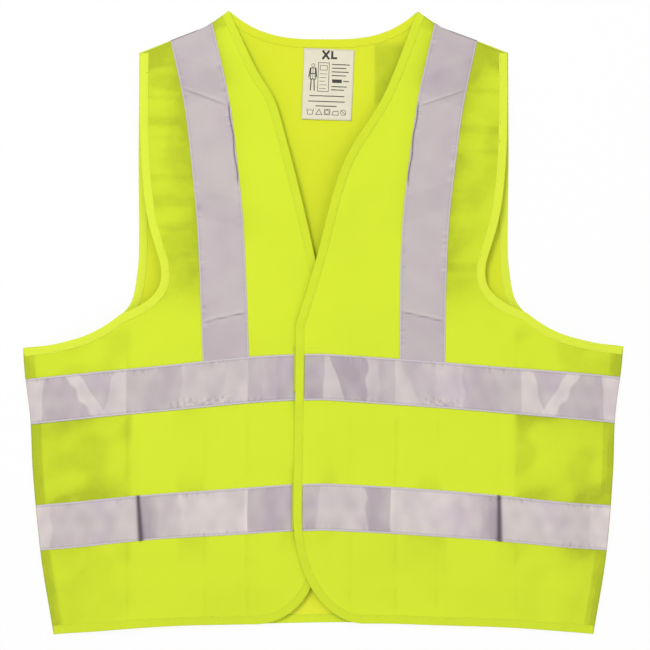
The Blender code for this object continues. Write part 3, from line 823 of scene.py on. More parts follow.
def shifted(path, distance):
    """The path moved sideways: to its left for a positive distance."""
    step = np.gradient(path, axis=0)
    normal = np.stack([-step[:, 1], step[:, 0]], axis=1)
    return path + distance * normal / np.linalg.norm(normal, axis=1)[:, None]


def folded(path, inward, flat, edge_radius, half):
    """A strip folded over an edge: in along the top, round the edge and back underneath.

    Gives x and y of the rails, how far in each rail lies, and its height over the middle.
    """
    turn = np.linspace(math.pi / 2, -math.pi / 2, 7)[1:-1]
    reach = np.concatenate([flat, edge_radius - edge_radius * np.cos(turn), flat[::-1]])
    level = np.full(len(flat), half)
    lift = np.concatenate([level, half * np.sin(turn), -level])
    rails = [shifted(path, inward * r) for r in reach]
    x = np.stack([rail[:, 0] for rail in rails], axis=1)
    y = np.stack([rail[:, 1] for rail in rails], axis=1)
    return x, y, reach, lift


def along_strip(spacing, reach, x):
    """The flat pattern of a strip: the distance along it, and the distance in from its edge."""
    along = np.arange(len(x))[:, None] * spacing * np.ones_like(x)
    return along, np.stack([along, np.broadcast_to(reach, x.shape)], axis=-1)


STRIP = 0.00016
STRIP_GAP = 0.00008
STRIP_RADIUS = 0.0010
STRIP_STEP = 0.0022
STITCH_SHARE = 0.83
PUCKER = 0.00010


def binding(name, path, inward, height, knit, tone=0.0):
    """A bound edge: the folded strip round the cloth, dipped and puckered along its stitches.

    inward is 1 where the cloth lies left of the path. Also gives the line of the stitches.
    """
    path = evenly(path, STRIP_STEP)
    flat = np.array([1.0, 0.93, 0.86, 0.76, 0.60, 0.40, 0.22, 0.12]) * BINDING_WIDTH
    x, y, reach, lift = folded(path, inward, flat, STRIP_RADIUS, KNIT / 2 + STRIP_GAP)
    share = reach / BINDING_WIDTH
    dip = 0.00012 * bell(share - STITCH_SHARE, 0.06)
    lift = lift - np.sign(lift) * (dip + 0.00010 * (share > 0.99))
    y = np.minimum(y, shoulder_y(np.abs(x)) - 0.0002)
    along, pattern = along_strip(STRIP_STEP, reach, x)
    pucker = PUCKER * waves(along, y * 0, hash_name(name), 0.004, 0.012, 10)
    middle = height(x, y) + KNIT / 2
    z = middle + lift + pucker * np.sign(lift) * soft_step(reach / 0.003)
    # Painted shade in the dip along the stitch line and towards the folded edge, plus the painted
    # shade given as tone.
    shade = 0.06 * bell(share - STITCH_SHARE, 0.05) * np.ones_like(x)
    shade = shade + tone + 0.04 * soft_step((share - 0.94) / 0.05)
    grid = np.stack([x, y, z], axis=-1)
    piece = sheet(name, grid, STRIP, knit, {"shade": shade}, pattern)
    line = shifted(path, inward * STITCH_SHARE * BINDING_WIDTH)
    line[:, 1] = np.minimum(line[:, 1], shoulder_y(np.abs(line[:, 0])) - 0.0006)
    top = height(line[:, 0], line[:, 1]) + KNIT + 0.00012
    return piece, np.column_stack([line, top])


def hash_name(name):
    """A whole number that belongs to a name."""
    return sum((i + 1) * ord(letter) for i, letter in enumerate(name)) % 9973


def mirrored(path, side):
    """A path of the left half, turned over for the right one."""
    return path * np.array([side, 1.0])


def hem_path(start, end):
    """Along the hem."""
    x = np.linspace(start, end, 120)
    return np.stack([x, hem_y(x)], axis=1)


def neck_path():
    """Along the back neck, almost from one neck point to the other."""
    x = np.linspace(NECK_X - 0.002, -NECK_X + 0.002, 80)
    return np.stack([x, back_neck(x)], axis=1)


# Painted shade on the front edge strips, whose rounded tops face the lamp.
EDGE_PAINTED_SHADE = 0.17
trims = {"back": [], 1: [], -1: []}
trim_lines = {"back": [], 1: [], -1: []}


def shell_trim(name, path, inward, height, owner, knit, *nodes):
    """A binding that never moves, kept with the panel it belongs to."""
    piece, line = binding(name, path, inward, height, knit)
    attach(piece, "shell")
    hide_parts(*nodes)
    trims[owner].append(piece)
    trim_lines[owner].append(line)


shell_trim("back_neck_bound", neck_path(), 1, back_z, "back", INSIDE_KNIT, "back_neck_binding")
shell_trim("back_hem_bound", hem_path(-HEM_X, HEM_X), 1, back_z, "back", BODY_KNIT,
           "back_hem_binding")
for side, name in SIDES:
    def on_front(x, y, side=side):
        return front_z(side, x, y)

    shell_trim(f"{name}_back_armhole_bound", mirrored(armhole(), side), side, back_z, "back",
               TRIM_KNIT, f"{name}_back_armhole_binding")
    shell_trim(f"{name}_front_armhole_bound", mirrored(armhole(FRONT_SCOOP), side), side, on_front,
               side, TRIM_KNIT, f"{name}_front_armhole_binding")
    corner_x = FREE_X[side] + CORNER[side][0]
    path = np.vstack([front_edge(side), hem_path(corner_x, HEM_X)[1:]])
    edge, edge_line = binding(f"{name}_edge_bound", mirrored(path, side), side, on_front,
                              BODY_KNIT, EDGE_PAINTED_SHADE)
    across_fold(edge, side)
    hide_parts(f"{name}_neck_binding", f"{name}_flap_binding", f"{name}_hem_binding")
    trims[side].append(edge)
    trim_lines[side].append(edge_line)


# ---------------------------------------------------------------- seams
# Side and shoulder seams: the allowances of back and front, sewn together and turned in between
# them, folded flat. From outside they are seen only as a darker band through the knit.

SEAM_WIDTH = 0.0070
SEAM_RADIUS = 0.0005
SEAM_LAYER = 0.00025
SEAM_STEP = 0.0040
SEAM_TONE = 0.35


def seam(name, path, inward, node):
    """A strip folded at the seam line, its two layers lying between the back and the front."""
    path = evenly(path, SEAM_STEP)
    half = (SEAM_Z - BACK_Z - KNIT) / 2 - 0.0006
    flat = np.linspace(1.0, 0.1, 8) * SEAM_WIDTH
    x, y, reach, lift = folded(path, inward, flat, SEAM_RADIUS, half)
    middle = (back_z(x, y) + KNIT + front_z(0, x, y)) / 2
    middle = np.minimum(middle, BACK_Z + KNIT + 0.0012)
    grid = np.stack([x, y, middle + lift], axis=-1)
    marks = {"shade": np.full(x.shape, SEAM_TONE)}
    pattern = along_strip(SEAM_STEP, reach, x)[1]
    piece = sheet(name, grid, SEAM_LAYER, TRIM_KNIT, marks, pattern)
    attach(piece, "shell")
    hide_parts(node)


for side, name in SIDES:
    seam(f"{name}_side_join", mirrored(side_edge(), side), side, f"{name}_side_seam")
    line = np.array([(SHOULDER_X, SHOULDER_Y), SHOULDER_BEND, (NECK_X + 0.001, LENGTH - 0.001)])
    seam(f"{name}_shoulder_join", mirrored(line, side), side, f"{name}_shoulder_seam")


# ---------------------------------------------------------------- reflective tape
# Glass-bead tape, 50 mm wide, sewn along both edges. Folding for the packet has left it in flat
# facets that catch the light differently, with small puckers along the stitching. The light and
# shade on facets, creases, pleats and puckers is painted into the tape's colour.

TAPE = 0.0003
TAPE_INSET = 0.0004
ON_KNIT = KNIT + 0.00012
DEEPEST = -0.00010
SEAM_SIDE_X = 0.31
# The tape's lit and shaded facet colours: painted light and painted shade.
TAPE_LIT = printed(225, 214, 211)
TAPE_SHADED = printed(171, 156, 166)
TAPE_GREEN = printed(194, 195, 183)
TAPE_EDGE = printed(202, 194, 201)
TAPE_LILAC = printed(188, 168, 190)
# Painted shade in creases, pleats, kinks and along the needle lines.
TAPE_CREASE_SHADE = printed(84, 72, 80)
TAPE_BEADS = printed(120, 112, 118)


def tape_paint():
    """Satin grey: painted light and shade from the mesh, a drifting lilac and green tint, fine
    beads, and painted shade in the creases.
    """
    paint = Paint("reflective_tape", Roughness=0.55, Specular_IOR_Level=0.25)
    flat = paint.flat()
    tone = (paint.mark("tone") + (paint.noise(flat, 38.0, 3.0, 0.6) - 0.5) * 0.22).held()
    tint = (paint.noise(flat, 17.0, 2.0) * 2.2 - 0.85).held()
    beads = paint.noise(flat, 2600.0, 1.0)
    silver = paint.blend(tone, TAPE_SHADED, TAPE_LIT)
    silver = paint.blend(tint * 0.46, silver, TAPE_GREEN)
    bloom = (paint.noise(flat, 23.0, 2.0) * 2.6 - 1.3).held()
    silver = paint.blend(bloom * paint.mark("lilac"), silver, TAPE_LILAC)
    silver = paint.blend(paint.mark("margin"), silver, TAPE_EDGE)
    silver = paint.blend((beads - 0.5) * 0.25, silver, TAPE_BEADS)
    silver = paint.blend(paint.mark("crease"), silver, TAPE_CREASE_SHADE)
    paint.feed("Base Color", silver)
    paint.feed("Roughness", 0.54 + (beads - 0.5) * 0.2 + paint.mark("margin") * 0.2)
    crinkle = paint.noise(flat, 150.0, 3.0, 0.55)
    paint.bump(beads * 0.10 + crinkle * 0.5, 0.00025, 0.55)
    return paint.material


SILVER = tape_paint()

# Fold lines across a tape: place along it from the middle, lean, step in painted light and shade,
# and softness.
OUTER_FOLDS = [
    (0.1886, -0.30, 0.10, 0.010),
    (0.2147, 0.02, 0.42, 0.0014),
    (0.2335, -0.33, -0.46, 0.0020),
    (0.2500, 0.60, 0.52, 0.0016),
    (0.2645, 0.60, -0.54, 0.0040),
    (0.3038, -0.05, 0.42, 0.0012),
]
FOLDS = {
    ("chest", 1): (0.14, [
        (0.0000, 0.06, 0.46, 0.0014), (0.0141, -0.37, -0.54, 0.0012), (0.0450, 0.02, 0.52, 0.0020),
        (0.0590, 0.00, -0.28, 0.0050), (0.0766, 0.00, 0.40, 0.0007), (0.0930, -0.48, -0.28, 0.0060),
        (0.1210, 0.02, 0.20, 0.0030), (0.1516, -0.10, -0.32, 0.0030)] + OUTER_FOLDS),
    ("chest", -1): (0.22, [
        (0.0505, 0.02, 0.16, 0.0040), (0.0669, 0.04, -0.12, 0.0024), (0.0821, 0.00, 0.34, 0.0007),
        (0.1070, -0.20, -0.16, 0.0060), (0.1288, 0.20, 0.10, 0.0040),
        (0.1550, -0.06, -0.24, 0.0016), (0.1780, -0.50, -0.06, 0.0060)] + OUTER_FOLDS),
    ("waist", 1): (0.30, [
        (-0.004, 0.10, 0.28, 0.0020), (0.0460, -0.10, -0.40, 0.0040), (0.0723, 0.00, 0.74, 0.0006),
        (0.0755, 0.00, -0.12, 0.0010), (0.1430, 0.10, -0.22, 0.0120), (0.1700, 0.00, -0.22, 0.0060),
        (0.1916, 0.04, 0.34, 0.0006), (0.2400, 0.30, -0.10, 0.0200), (0.2900, 0.00, 0.26, 0.0030)]),
    ("waist", -1): (0.26, [
        (0.0815, 0.00, 0.70, 0.0006), (0.0850, 0.00, -0.20, 0.0010), (0.1560, 0.10, -0.28, 0.0100),
        (0.1800, 0.00, -0.20, 0.0060), (0.2011, 0.03, 0.34, 0.0006), (0.2300, 0.30, -0.14, 0.0200),
        (0.2970, 0.00, 0.26, 0.0030)]),
}
# A pleat across each waist tape, raised, with painted shadow on its inner side: its place and its
# lean.
PLEATS = {("waist", 1): 0.1908, ("waist", -1): 0.2003}
PLEAT_LEAN = {1: -0.02, -1: 0.07}
PLEAT_RISE = 0.0016
PLEAT_BREADTH = 0.0016
FACET_RISE = 0.0010
FACET_REACH = 0.0035


def tone_of(along, across, start, folds, uneven=0.07):
    """Painted light and shade of the facets: it starts at one level, varies a little at random, and
    steps at each fold line; the lines wander a little.
    """
    wander = 0.0011 * waves(along, across, 51, 0.016, 0.050, 10)
    tone = start + uneven * waves(along, across, 52, 0.012, 0.045, 14)
    for place, lean, step, blur in folds:
        loose = wander * min(1, blur / 0.002 - 0.3)
        tone = tone + step * soft_step((along + loose - place - lean * across) / blur + 0.5)
    return tone


def facet_rise(along, across, folds):
    """Height of the facets: a low tent over each fold line, taller for a stronger step."""
    rise = np.zeros_like(along)
    for place, lean, step, blur in folds:
        distance = np.hypot(along - place - lean * across, 0.0004)
        rise = rise + FACET_RISE * abs(step) * np.exp(-distance / FACET_REACH)
    return rise


def edge_marks(across):
    """The pale margin outside the stitch line of a tape, and painted shade along the needle line
    itself.
    """
    from_edge = TAPE_WIDTH / 2 - np.abs(across)
    margin = soft_step((0.0019 - from_edge) / 0.0004)
    needle = bell(from_edge - 0.0024, 0.00035)
    return margin, needle


def puckers(along, across, seed):
    """Small gathers beside the stitching, stronger here and there."""
    from_edge = TAPE_WIDTH / 2 - np.abs(across)
    near = bell(from_edge - 0.0030, 0.0030)
    patchy = soft_step(waves(along, np.sign(across) * 0.2, seed, 0.05, 0.12, 6) - 0.1)
    return near * (0.25 + patchy) * waves(along, np.sign(across), seed + 1, 0.003, 0.009, 14)


# Where the stitching has crimped the lower edge of the chest tape, from the middle outwards.
CRIMPED = {1: (0.1000, 0.1550), -1: (0.0900, 0.1760)}
NEAR_EDGE = np.array([0.0216, 0.0222, 0.0226, 0.0230, 0.0238, 0.0244, 0.0250])
ACROSS_TAPE = np.concatenate([-NEAR_EDGE[::-1], np.linspace(-0.0205, 0.0205, 31), NEAR_EDGE])
NEEDLE_COLUMNS = (4, -5)
tapes = {"back": [], 1: [], -1: []}
tape_lines = {"back": [], 1: [], -1: []}


def sewn_tape(name, owner, surface, flat, marks, rows=slice(None)):
    """A tape as a sheet, kept with its panel; rows are those that its two stitch lines cover."""
    face_up = owner != "back"
    marks["tone"] = np.clip(marks["tone"], 0, 1)
    grid = np.stack(surface, axis=-1)
    proud = (0, 0, TAPE if face_up else -TAPE)
    tape_lines[owner] += [grid[rows, i] + proud for i in NEEDLE_COLUMNS]
    piece = sheet(name, grid, TAPE, SILVER, marks, np.stack(flat, axis=-1), face_up)
    tapes[owner].append(piece)
    return piece


def cross_tape(name, side, tape, start_x):
    """A tape across one front, from its free edge to the side seam.

    Its middle follows tape_y(), its ends follow the outline, and folds, pleat, crimps and
    gathers add to its height and to its painted light and shade.
    """
    across = ACROSS_TAPE
    share = np.linspace(0, 1, 280)[:, None]
    end_x = side_x(tape_y(SEAM_SIDE_X, tape) + across, FRONT_SIDE) - TAPE_INSET
    along = start_x + share * (end_x - start_x)
    v = np.broadcast_to(across, along.shape)
    start, folds = FOLDS[tape, side]
    x = side * along
    y = tape_y(along, tape) + v
    tone = tone_of(along, v, start, folds)
    margin, needle = edge_marks(v)
    gathers = puckers(along, v, hash_name(name))
    crease_shade = np.zeros_like(tone)
    lift = facet_rise(along, v, folds) * soft_step((TAPE_WIDTH / 2 - np.abs(v)) / 0.006)
    if (tape, side) in PLEATS:
        low = np.clip(0.5 - v / TAPE_WIDTH, 0, 1)
        gap = along - PLEATS[tape, side] - PLEAT_LEAN[side] * v
        lift = lift + PLEAT_RISE * bell(gap, PLEAT_BREADTH)
        # Painted shadow on the inner side of the pleat, and broader painted shade beside it.
        wide = 0.0020 + 0.0014 * low
        crease_shade = crease_shade + 0.95 * bell(gap + 0.0010, wide)
        tone = tone - 0.36 * bell(gap + 0.0070, 0.0080)
    if tape == "chest":
        first, last = CRIMPED[side]
        zone = window(along, first, last, 0.02)
        zone = zone * soft_step((-0.011 - v) / 0.007) * soft_step((v + 0.0235) / 0.001)
        crimps = zone * waves(along, 0.6 * v, 61, 0.0028, 0.0075, 12)
        # Painted light and shade on the crimps, with dark lines at the strongest.
        tone = tone + 0.26 * crimps
        lift = lift + 0.00022 * crimps
        crease_shade = crease_shade + 0.30 * np.clip(crimps - 0.9, 0, 1)
    # Painted shade along the needle line and in the gathers, and painted light and shade on the
    # gathers.
    crease_shade = crease_shade + 0.30 * needle + 0.22 * np.clip(gathers - 0.6, 0, 1)
    tone = tone + 0.16 * gathers
    lift = lift + 0.00012 * gathers - 0.00018 * needle
    over_brace = 0.0004 * (tape == "chest")
    z = front_z(side, x, y) + ON_KNIT + over_brace + np.maximum(lift, DEEPEST)
    marks = {"tone": tone, "margin": margin, "crease": crease_shade, "lilac": np.full_like(x, 0.7)}
    return sewn_tape(name, side, (x, y, z), (along, v + 0.2 * side), marks)


for side, name in SIDES:
    for tape in TAPE_MIDDLES:
        start_x = FREE_X[side] + BINDING_WIDTH + 0.0006
        piece = cross_tape(f"{name}_{tape}_band", side, tape, start_x)
        across_fold(piece, side)
        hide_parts(f"{name}_{tape}_tape", f"{name}_flap_{tape}_tape")


def brace_grid(across, rows, past_tape, past_shoulder):
    """x and y of a brace from the chest tape to the shoulder.

    Its middle follows X(y) and its sides lie square to that: x = X(y) + v sqrt(1 + X'(y)^2).
    """
    def beside(y):
        lean = (brace_x(y + 0.005) - brace_x(y - 0.005)) / 0.010
        return brace_x(y) + across * np.sqrt(1 + lean ** 2)

    foot = np.full(len(across), 0.30)
    top = np.full(len(across), 0.65)
    for _ in range(8):
        foot = tape_y(beside(foot), "chest") + TAPE_WIDTH / 2 + past_tape
        top = shoulder_y(beside(top)) + past_shoulder
    y = foot + np.linspace(0, 1, rows)[:, None] * (top - foot)
    return beside(y), y


# Marks on a brace: height up it, lean, step in painted light and shade, and softness.
BRACE_FOLDS = {
    1: [(0.3450, -0.22, 0.06, 0.0030), (0.4550, 0.30, -0.08, 0.0060), (0.4840, 0.35, 0.08, 0.0020),
        (0.5800, -0.36, -0.10, 0.0012), (0.6150, 0.50, 0.08, 0.0080)],
    -1: [(0.3440, -0.22, 0.06, 0.0030), (0.4480, 0.30, -0.08, 0.0060), (0.4780, 0.35, 0.08, 0.0020),
         (0.5810, -0.36, -0.10, 0.0012), (0.6180, 0.50, 0.08, 0.0080)],
}
# Sharp creases across a brace, painted as a dark shade line with painted light beside it: height up
# it, lean, and strength.
BRACE_LINES = {1: [(0.5810, 0.36, 0.40), (0.3455, -0.22, 0.50)],
               -1: [(0.5815, 0.38, 0.55), (0.3440, -0.21, 0.50)]}


def brace(name, side):
    """A tape up one front, square to its route; its top turns over the shoulder."""
    across = ACROSS_TAPE
    x, y = brace_grid(across, 210, -0.005, 0.0004)
    v = np.broadcast_to(across, x.shape)
    # Painted light and shade: a slight random drift, darker towards the top, and steps at the
    # folds.
    tone = 0.02 * waves(y, v, 53, 0.02, 0.06, 9) - 0.07 * soft_step((y - 0.57) / 0.02)
    tone = tone + tone_of(y, v, 0.30, BRACE_FOLDS[side], 0.0)
    margin, needle = edge_marks(v)
    gathers = puckers(y, v, hash_name(f"{name}_brace"))
    dark = np.zeros_like(x)
    for place, lean, strength in BRACE_LINES[side]:
        gap = y - place - lean * v
        length = soft_step((0.026 - np.abs(v)) / 0.012) * strength
        dark = dark + length * bell(gap, 0.0008)
        tone = tone + 0.5 * length * bell(gap - 0.0024, 0.0014)
    # Painted shade in the kink along the inner edge of the brace, and a dark rim where its top
    # turns over the shoulder.
    fold = bell(v + 0.0232 - 0.0006 * np.sin(y * 160), 0.0008)
    fold = fold * window(y, 0.485, 0.580, 0.01)
    rim = soft_step((y - y[-1] + 0.0016) / 0.0012) * soft_step((v + 0.010) / 0.006)
    crease_shade = dark + 0.22 * needle + 0.85 * fold + 0.8 * rim
    tone = tone + 0.10 * gathers
    turned = 0.0010 * soft_step((y - y[-1] + 0.0010) / 0.0010)
    x = side * x
    lift = 0.00010 * gathers - 0.00016 * needle - 0.0002 * dark
    z = front_z(side, x, y) + ON_KNIT + np.maximum(lift, DEEPEST) - turned
    marks = {"tone": tone, "margin": margin * 0.6, "crease": crease_shade}
    flat = (y, v + 0.4 + 0.2 * side)
    piece = sewn_tape(f"{name}_brace", side, (x, y, z), flat, marks, slice(4, -1))
    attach(piece, "shell")
    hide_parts(f"{name}_front_brace_tape")


for side, name in SIDES:
    brace(name, side)


def back_tape(name, x, y, seed, node):
    """A tape on the outside of the back, face down on the table."""
    v = ACROSS_TAPE * np.ones_like(x)
    tone = 0.5 + 0.22 * np.tanh(9 * waves(x + y, x * 0, seed, 0.05, 0.14, 7))
    margin, needle = edge_marks(v)
    z = np.full_like(x, BACK_Z - 0.00015) - 0.0001 * needle
    marks = {"tone": tone, "margin": margin, "crease": 0.3 * needle}
    piece = sewn_tape(name, "back", (x, y, z), (x + y, v + 0.8), marks)
    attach(piece, "shell")
    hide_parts(node)


for tape in TAPE_MIDDLES:
    end = side_x(tape_y(SEAM_SIDE_X, tape) + ACROSS_TAPE, BACK_SIDE) - TAPE_INSET
    x = np.linspace(-1, 1, 420)[:, None] * end
    y = tape_y(x, tape) + ACROSS_TAPE
    back_tape(f"back_{tape}_band", x, y, hash_name(tape), f"back_{tape}_tape")
for side, name in SIDES:
    x, y = brace_grid(ACROSS_TAPE, 200, 0.0004, -0.0004)
    back_tape(f"{name}_back_brace", side * x, y, hash_name(name), f"{name}_back_brace_tape")


# ---------------------------------------------------------------- stitching
# Lockstitch along both edges of every tape, along the bindings and beside the side seams, and
# round the top of the closure patch, where the needle comes through the left front.

STITCH_PITCH = 0.0032
STITCH_LENGTH = 0.0027
STITCH_BOW = 0.00022
STITCH_SINK = 0.00016
THREAD = 0.00017
SEAM_ROW = 0.0065
ROW_END = 0.012
PATCH_ROW = 0.0016


def tubes(name, paths, side, thick, material):
    """Square tubes, one along each path; side is the direction each path never turns towards.

    Each ring has the corners c + r s, c + r n, c - r s, c - r n, with n square to s and the path.
    """
    step = np.gradient(paths, axis=1)
    step = step / np.linalg.norm(step, axis=-1, keepdims=True)
    flank = np.broadcast_to(side[:, None, :], paths.shape)
    upward = np.cross(step, flank)
    upward = upward / np.linalg.norm(upward, axis=-1, keepdims=True)
    ring = np.stack([flank, upward, -flank, -upward], axis=2)
    points = paths[:, :, None, :] + thick * ring
    count, rings = paths.shape[:2]
    at = np.arange(count * rings * 4).reshape(count, rings, 4)
    ahead = np.roll(at, -1, axis=2)
    walls = np.stack([at[:, :-1], ahead[:, :-1], ahead[:, 1:], at[:, 1:]], axis=-1).reshape(-1, 4)
    faces = np.vstack([walls, at[:, 0, ::-1], at[:, -1]])
    return lay(name, points, faces, material)


def thread_paint(name, colour):
    """Twisted polyester thread: a soft sheen and a fine slanting twist."""
    paint = Paint(name, Roughness=0.5, Sheen_Weight=0.2)
    flat = paint.flat()
    twist = paint.noise(flat, 1800.0, 1.0)
    paint.feed("Base Color", paint.blend(twist * 0.35, colour, printed(150, 150, 130)))
    paint.bump(twist, 0.00005, 0.5)
    return paint.material


def stitches(name, lines, material, out=1.0):
    """One short bowed thread per stitch: it dips into the cloth at both ends and stands proud."""
    share = np.linspace(0, 1, 4)
    paths = []
    for line in lines:
        gaps = np.linalg.norm(np.diff(line, axis=0), axis=1)
        length = np.concatenate([[0], np.cumsum(gaps)])
        start = np.arange(0.0005, length[-1] - STITCH_PITCH, STITCH_PITCH)
        at = start[:, None] + share * STITCH_LENGTH
        paths.append(np.stack([np.interp(at, length, line[:, i]) for i in range(3)], axis=-1))
    paths = np.concatenate(paths)
    bow = np.sin(math.pi * share) * STITCH_BOW - STITCH_SINK
    paths[..., 2] += out * bow
    along = paths[:, -1] - paths[:, 0]
    side = np.stack([along[:, 1], -along[:, 0], along[:, 0] * 0], axis=1)
    side = side / np.linalg.norm(side, axis=1, keepdims=True)
    return tubes(name, paths, side, THREAD, material)


YELLOW_THREAD = thread_paint("yellow_thread", printed(215, 232, 58))
SILVER_THREAD = thread_paint("silver_thread", printed(196, 189, 195))
seam_lines = {"back": [], 1: [], -1: []}
for side, name in SIDES:
    line = evenly(shifted(side_edge(), SEAM_ROW), 0.004)
    line = line[(line[:, 1] > ROW_END) & (line[:, 1] < UNDERARM_Y - ROW_END)]
    clear = np.ones(len(line), dtype=bool)
    for tape in TAPE_MIDDLES:
        clear &= np.abs(line[:, 1] - tape_y(line[:, 0], tape)) > TAPE_WIDTH / 2 + 0.001
    line = mirrored(line, side)
    line = np.column_stack([line, front_z(side, line[:, 0], line[:, 1]) + KNIT])
    breaks = np.flatnonzero(np.diff(clear)) + 1
    runs = zip(np.split(line, breaks), clear[np.append(0, breaks)])
    seam_lines[side] += [run for run, sewn in runs if sewn and len(run) > 3]
hook_low, hook_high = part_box("upper_hook_patch")
patch_left, patch_right = hook_low.x + PATCH_ROW, hook_high.x - PATCH_ROW
patch_top = hook_high.y - HEM_LINE - PATCH_ROW
patch_foot = tape_y(0.0, "chest") + TAPE_WIDTH / 2 + 0.001
corners = [(patch_left, patch_foot), (patch_left, patch_top), (patch_right, patch_top),
           (patch_right, patch_foot)]
for first, last in zip(corners, corners[1:]):
    line = evenly(np.array([first, last]), 0.001)
    seam_lines[1].append(np.column_stack([line, front_z(1, line[:, 0], line[:, 1]) + KNIT]))
for owner, name in (*SIDES, ("back", "back")):
    out = -1.0 if owner == "back" else 1.0
    edges = stitches(f"{name}_trim_stitches", trim_lines[owner] + seam_lines[owner], YELLOW_THREAD)
    rows = stitches(f"{name}_tape_stitches", tape_lines[owner], SILVER_THREAD, out)
    for piece, slot in ((edges, "edge_binding"), (rows, "reflective_tape")):
        if owner == "back":
            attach(piece, "shell")
        else:
            across_fold(piece, owner)


# ---------------------------------------------------------------- touch closure
# Two hook patches under the edge of the left front and two loop patches on the right front: woven
# yellow tape with rows of hooks, and the same tape with a brushed pile of loops.

WEAVE = 0.0006
PATCH_LAYER = 0.0006
PILE_MARGIN = 0.0022
PILE_COUNT = {"hooks": (11, 22), "loops": (15, 30)}
HOOK_GAP = 0.0005
LOOP_GAP = 0.0013
HOOK_STEM = 0.0004
HOOK_RADIUS = 0.00035
LOOP_RADIUS = 0.0007
LOOP_RISE = 0.00045
PILE_SINK = 0.0001


def closure_paint(name, colour):
    """Nylon tape: a close weave, slightly glossy."""
    paint = Paint(name, Roughness=0.6, Specular_IOR_Level=0.4)
    across, up = paint.ways(paint.flat())
    weave = (across * (2 * math.pi / WEAVE)).sine() * (up * (2 * math.pi / WEAVE)).sine()
    paint.feed("Base Color", paint.blend((weave * 0.3 + 0.3).held(), colour, DEEP_YELLOW))
    paint.bump(weave, 0.00008, 0.8)
    return paint.material


CLOSURE = closure_paint("closure_tape", printed(208, 222, 66))


def patch(name, node, base, face, pile, body):
    """A patch of closure tape with its pile; base gives its height, and face is 1 up or -1 down.

    A hook is a stem that bends over by 5/8 of a turn; a loop is a low half circle.
    """
    start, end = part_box(node)
    x = np.linspace(start.x, end.x, 26)
    y = np.linspace(start.y, end.y, 44) - HEM_LINE
    x, y = np.meshgrid(x, y)
    z = base(x, y)
    plate = sheet(f"{name}_plate", np.stack([x, y, z], axis=-1), PATCH_LAYER, CLOSURE,
                  faces_up=face > 0)
    draw = np.random.default_rng(hash_name(name))
    columns, rows = PILE_COUNT[pile]
    px = np.linspace(start.x + PILE_MARGIN, end.x - PILE_MARGIN, columns)
    py = np.linspace(start.y + PILE_MARGIN, end.y - PILE_MARGIN, rows) - HEM_LINE
    px, py = (part.ravel() for part in np.meshgrid(px, py))
    if pile == "hooks":
        heading = np.where(np.arange(len(px)) % 2, 1.0, -1.0) * math.pi / 2
        bend = np.linspace(0, 1.25 * math.pi, 6)
        out, up = HOOK_RADIUS * (1 - np.cos(bend)), HOOK_STEM + HOOK_RADIUS * np.sin(bend)
        out, up = np.append([0.0], out), np.append([-PILE_SINK], up)
        thick = 0.00010
    else:
        px = px + draw.uniform(-0.0005, 0.0005, len(px))
        py = py + draw.uniform(-0.0005, 0.0005, len(py))
        heading = draw.uniform(0, 2 * math.pi, len(px))
        bend = np.linspace(0, math.pi, 6)
        out, up = LOOP_RADIUS * np.cos(bend), LOOP_RISE * np.sin(bend) - PILE_SINK
        thick = 0.00006
    across = np.stack([np.cos(heading), np.sin(heading)], axis=1)
    surface = base(px, py) + face * PATCH_LAYER
    paths = np.stack([px[:, None] + across[:, :1] * out, py[:, None] + across[:, 1:] * out,
                      surface[:, None] + face * up * np.ones((len(px), 1))], axis=-1)
    side = np.column_stack([-across[:, 1], across[:, 0], np.zeros(len(px))])
    tufts = tubes(f"{name}_{pile}", paths, side, thick, CLOSURE)
    for piece in (plate, tufts):
        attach(piece, body)
    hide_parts(node)


def under_left(x, y):
    """Just off the underside of the left front."""
    return front_z(1, x, y) - HOOK_GAP


def over_right(x, y):
    """Just off the top of the right front."""
    return front_z(-1, x, y) + KNIT + LOOP_GAP


for level in ("upper", "lower"):
    patch(f"{level}_hook", f"{level}_hook_patch", under_left, -1, "hooks", "left_flap")
    patch(f"{level}_loop", f"{level}_loop_patch", over_right, 1, "loops", "right_flap")


# ---------------------------------------------------------------- size label
# A woven satin label sewn in at the back of the neck by its top edge. It is printed with the size,
# a plain figure in a vest, rows of dashes that stand for text, and five care marks.

LABEL_WIDTH = 0.0540
LABEL_DROP = 0.0770
LABEL_TURN = math.radians(-2.3)
LABEL_TOP = (0.0060, 0.29782 - HEM_LINE)
LABEL_LAYER = 0.00025
LABEL_GAP = 0.0010
INK_LEVEL = 0.00028
INK_RISE = 0.00003
SATIN_THREAD = 0.0005


def on_label(across, down):
    """A place on the label: across from its middle, down from its top edge, and its height."""
    cosine, sine = math.cos(LABEL_TURN), math.sin(LABEL_TURN)
    x = LABEL_TOP[0] + across * cosine + down * sine
    y = LABEL_TOP[1] + across * sine - down * cosine
    bow = 0.0006 * (down / LABEL_DROP) ** 2 + 0.0003 * np.sin(across * 90 + down * 40)
    z = BACK_Z + KNIT + LABEL_GAP + bow * soft_step(down / 0.02)
    return np.stack([x, y, z], axis=-1)


def label_paint():
    """Off-white satin weave, a little uneven from washing and folding."""
    paint = Paint("label_satin", Roughness=0.55, Sheen_Weight=0.1)
    flat = paint.flat()
    threads = (paint.ways(flat)[1] * (2 * math.pi / SATIN_THREAD)).sine()
    cloud = paint.noise(flat, 60.0, 3.0)
    share = (cloud * 0.7 + threads * 0.06).held()
    paint.feed("Base Color", paint.blend(share, printed(232, 226, 202), printed(208, 202, 176)))
    paint.bump(threads, 0.00004, 0.5)
    return paint.material


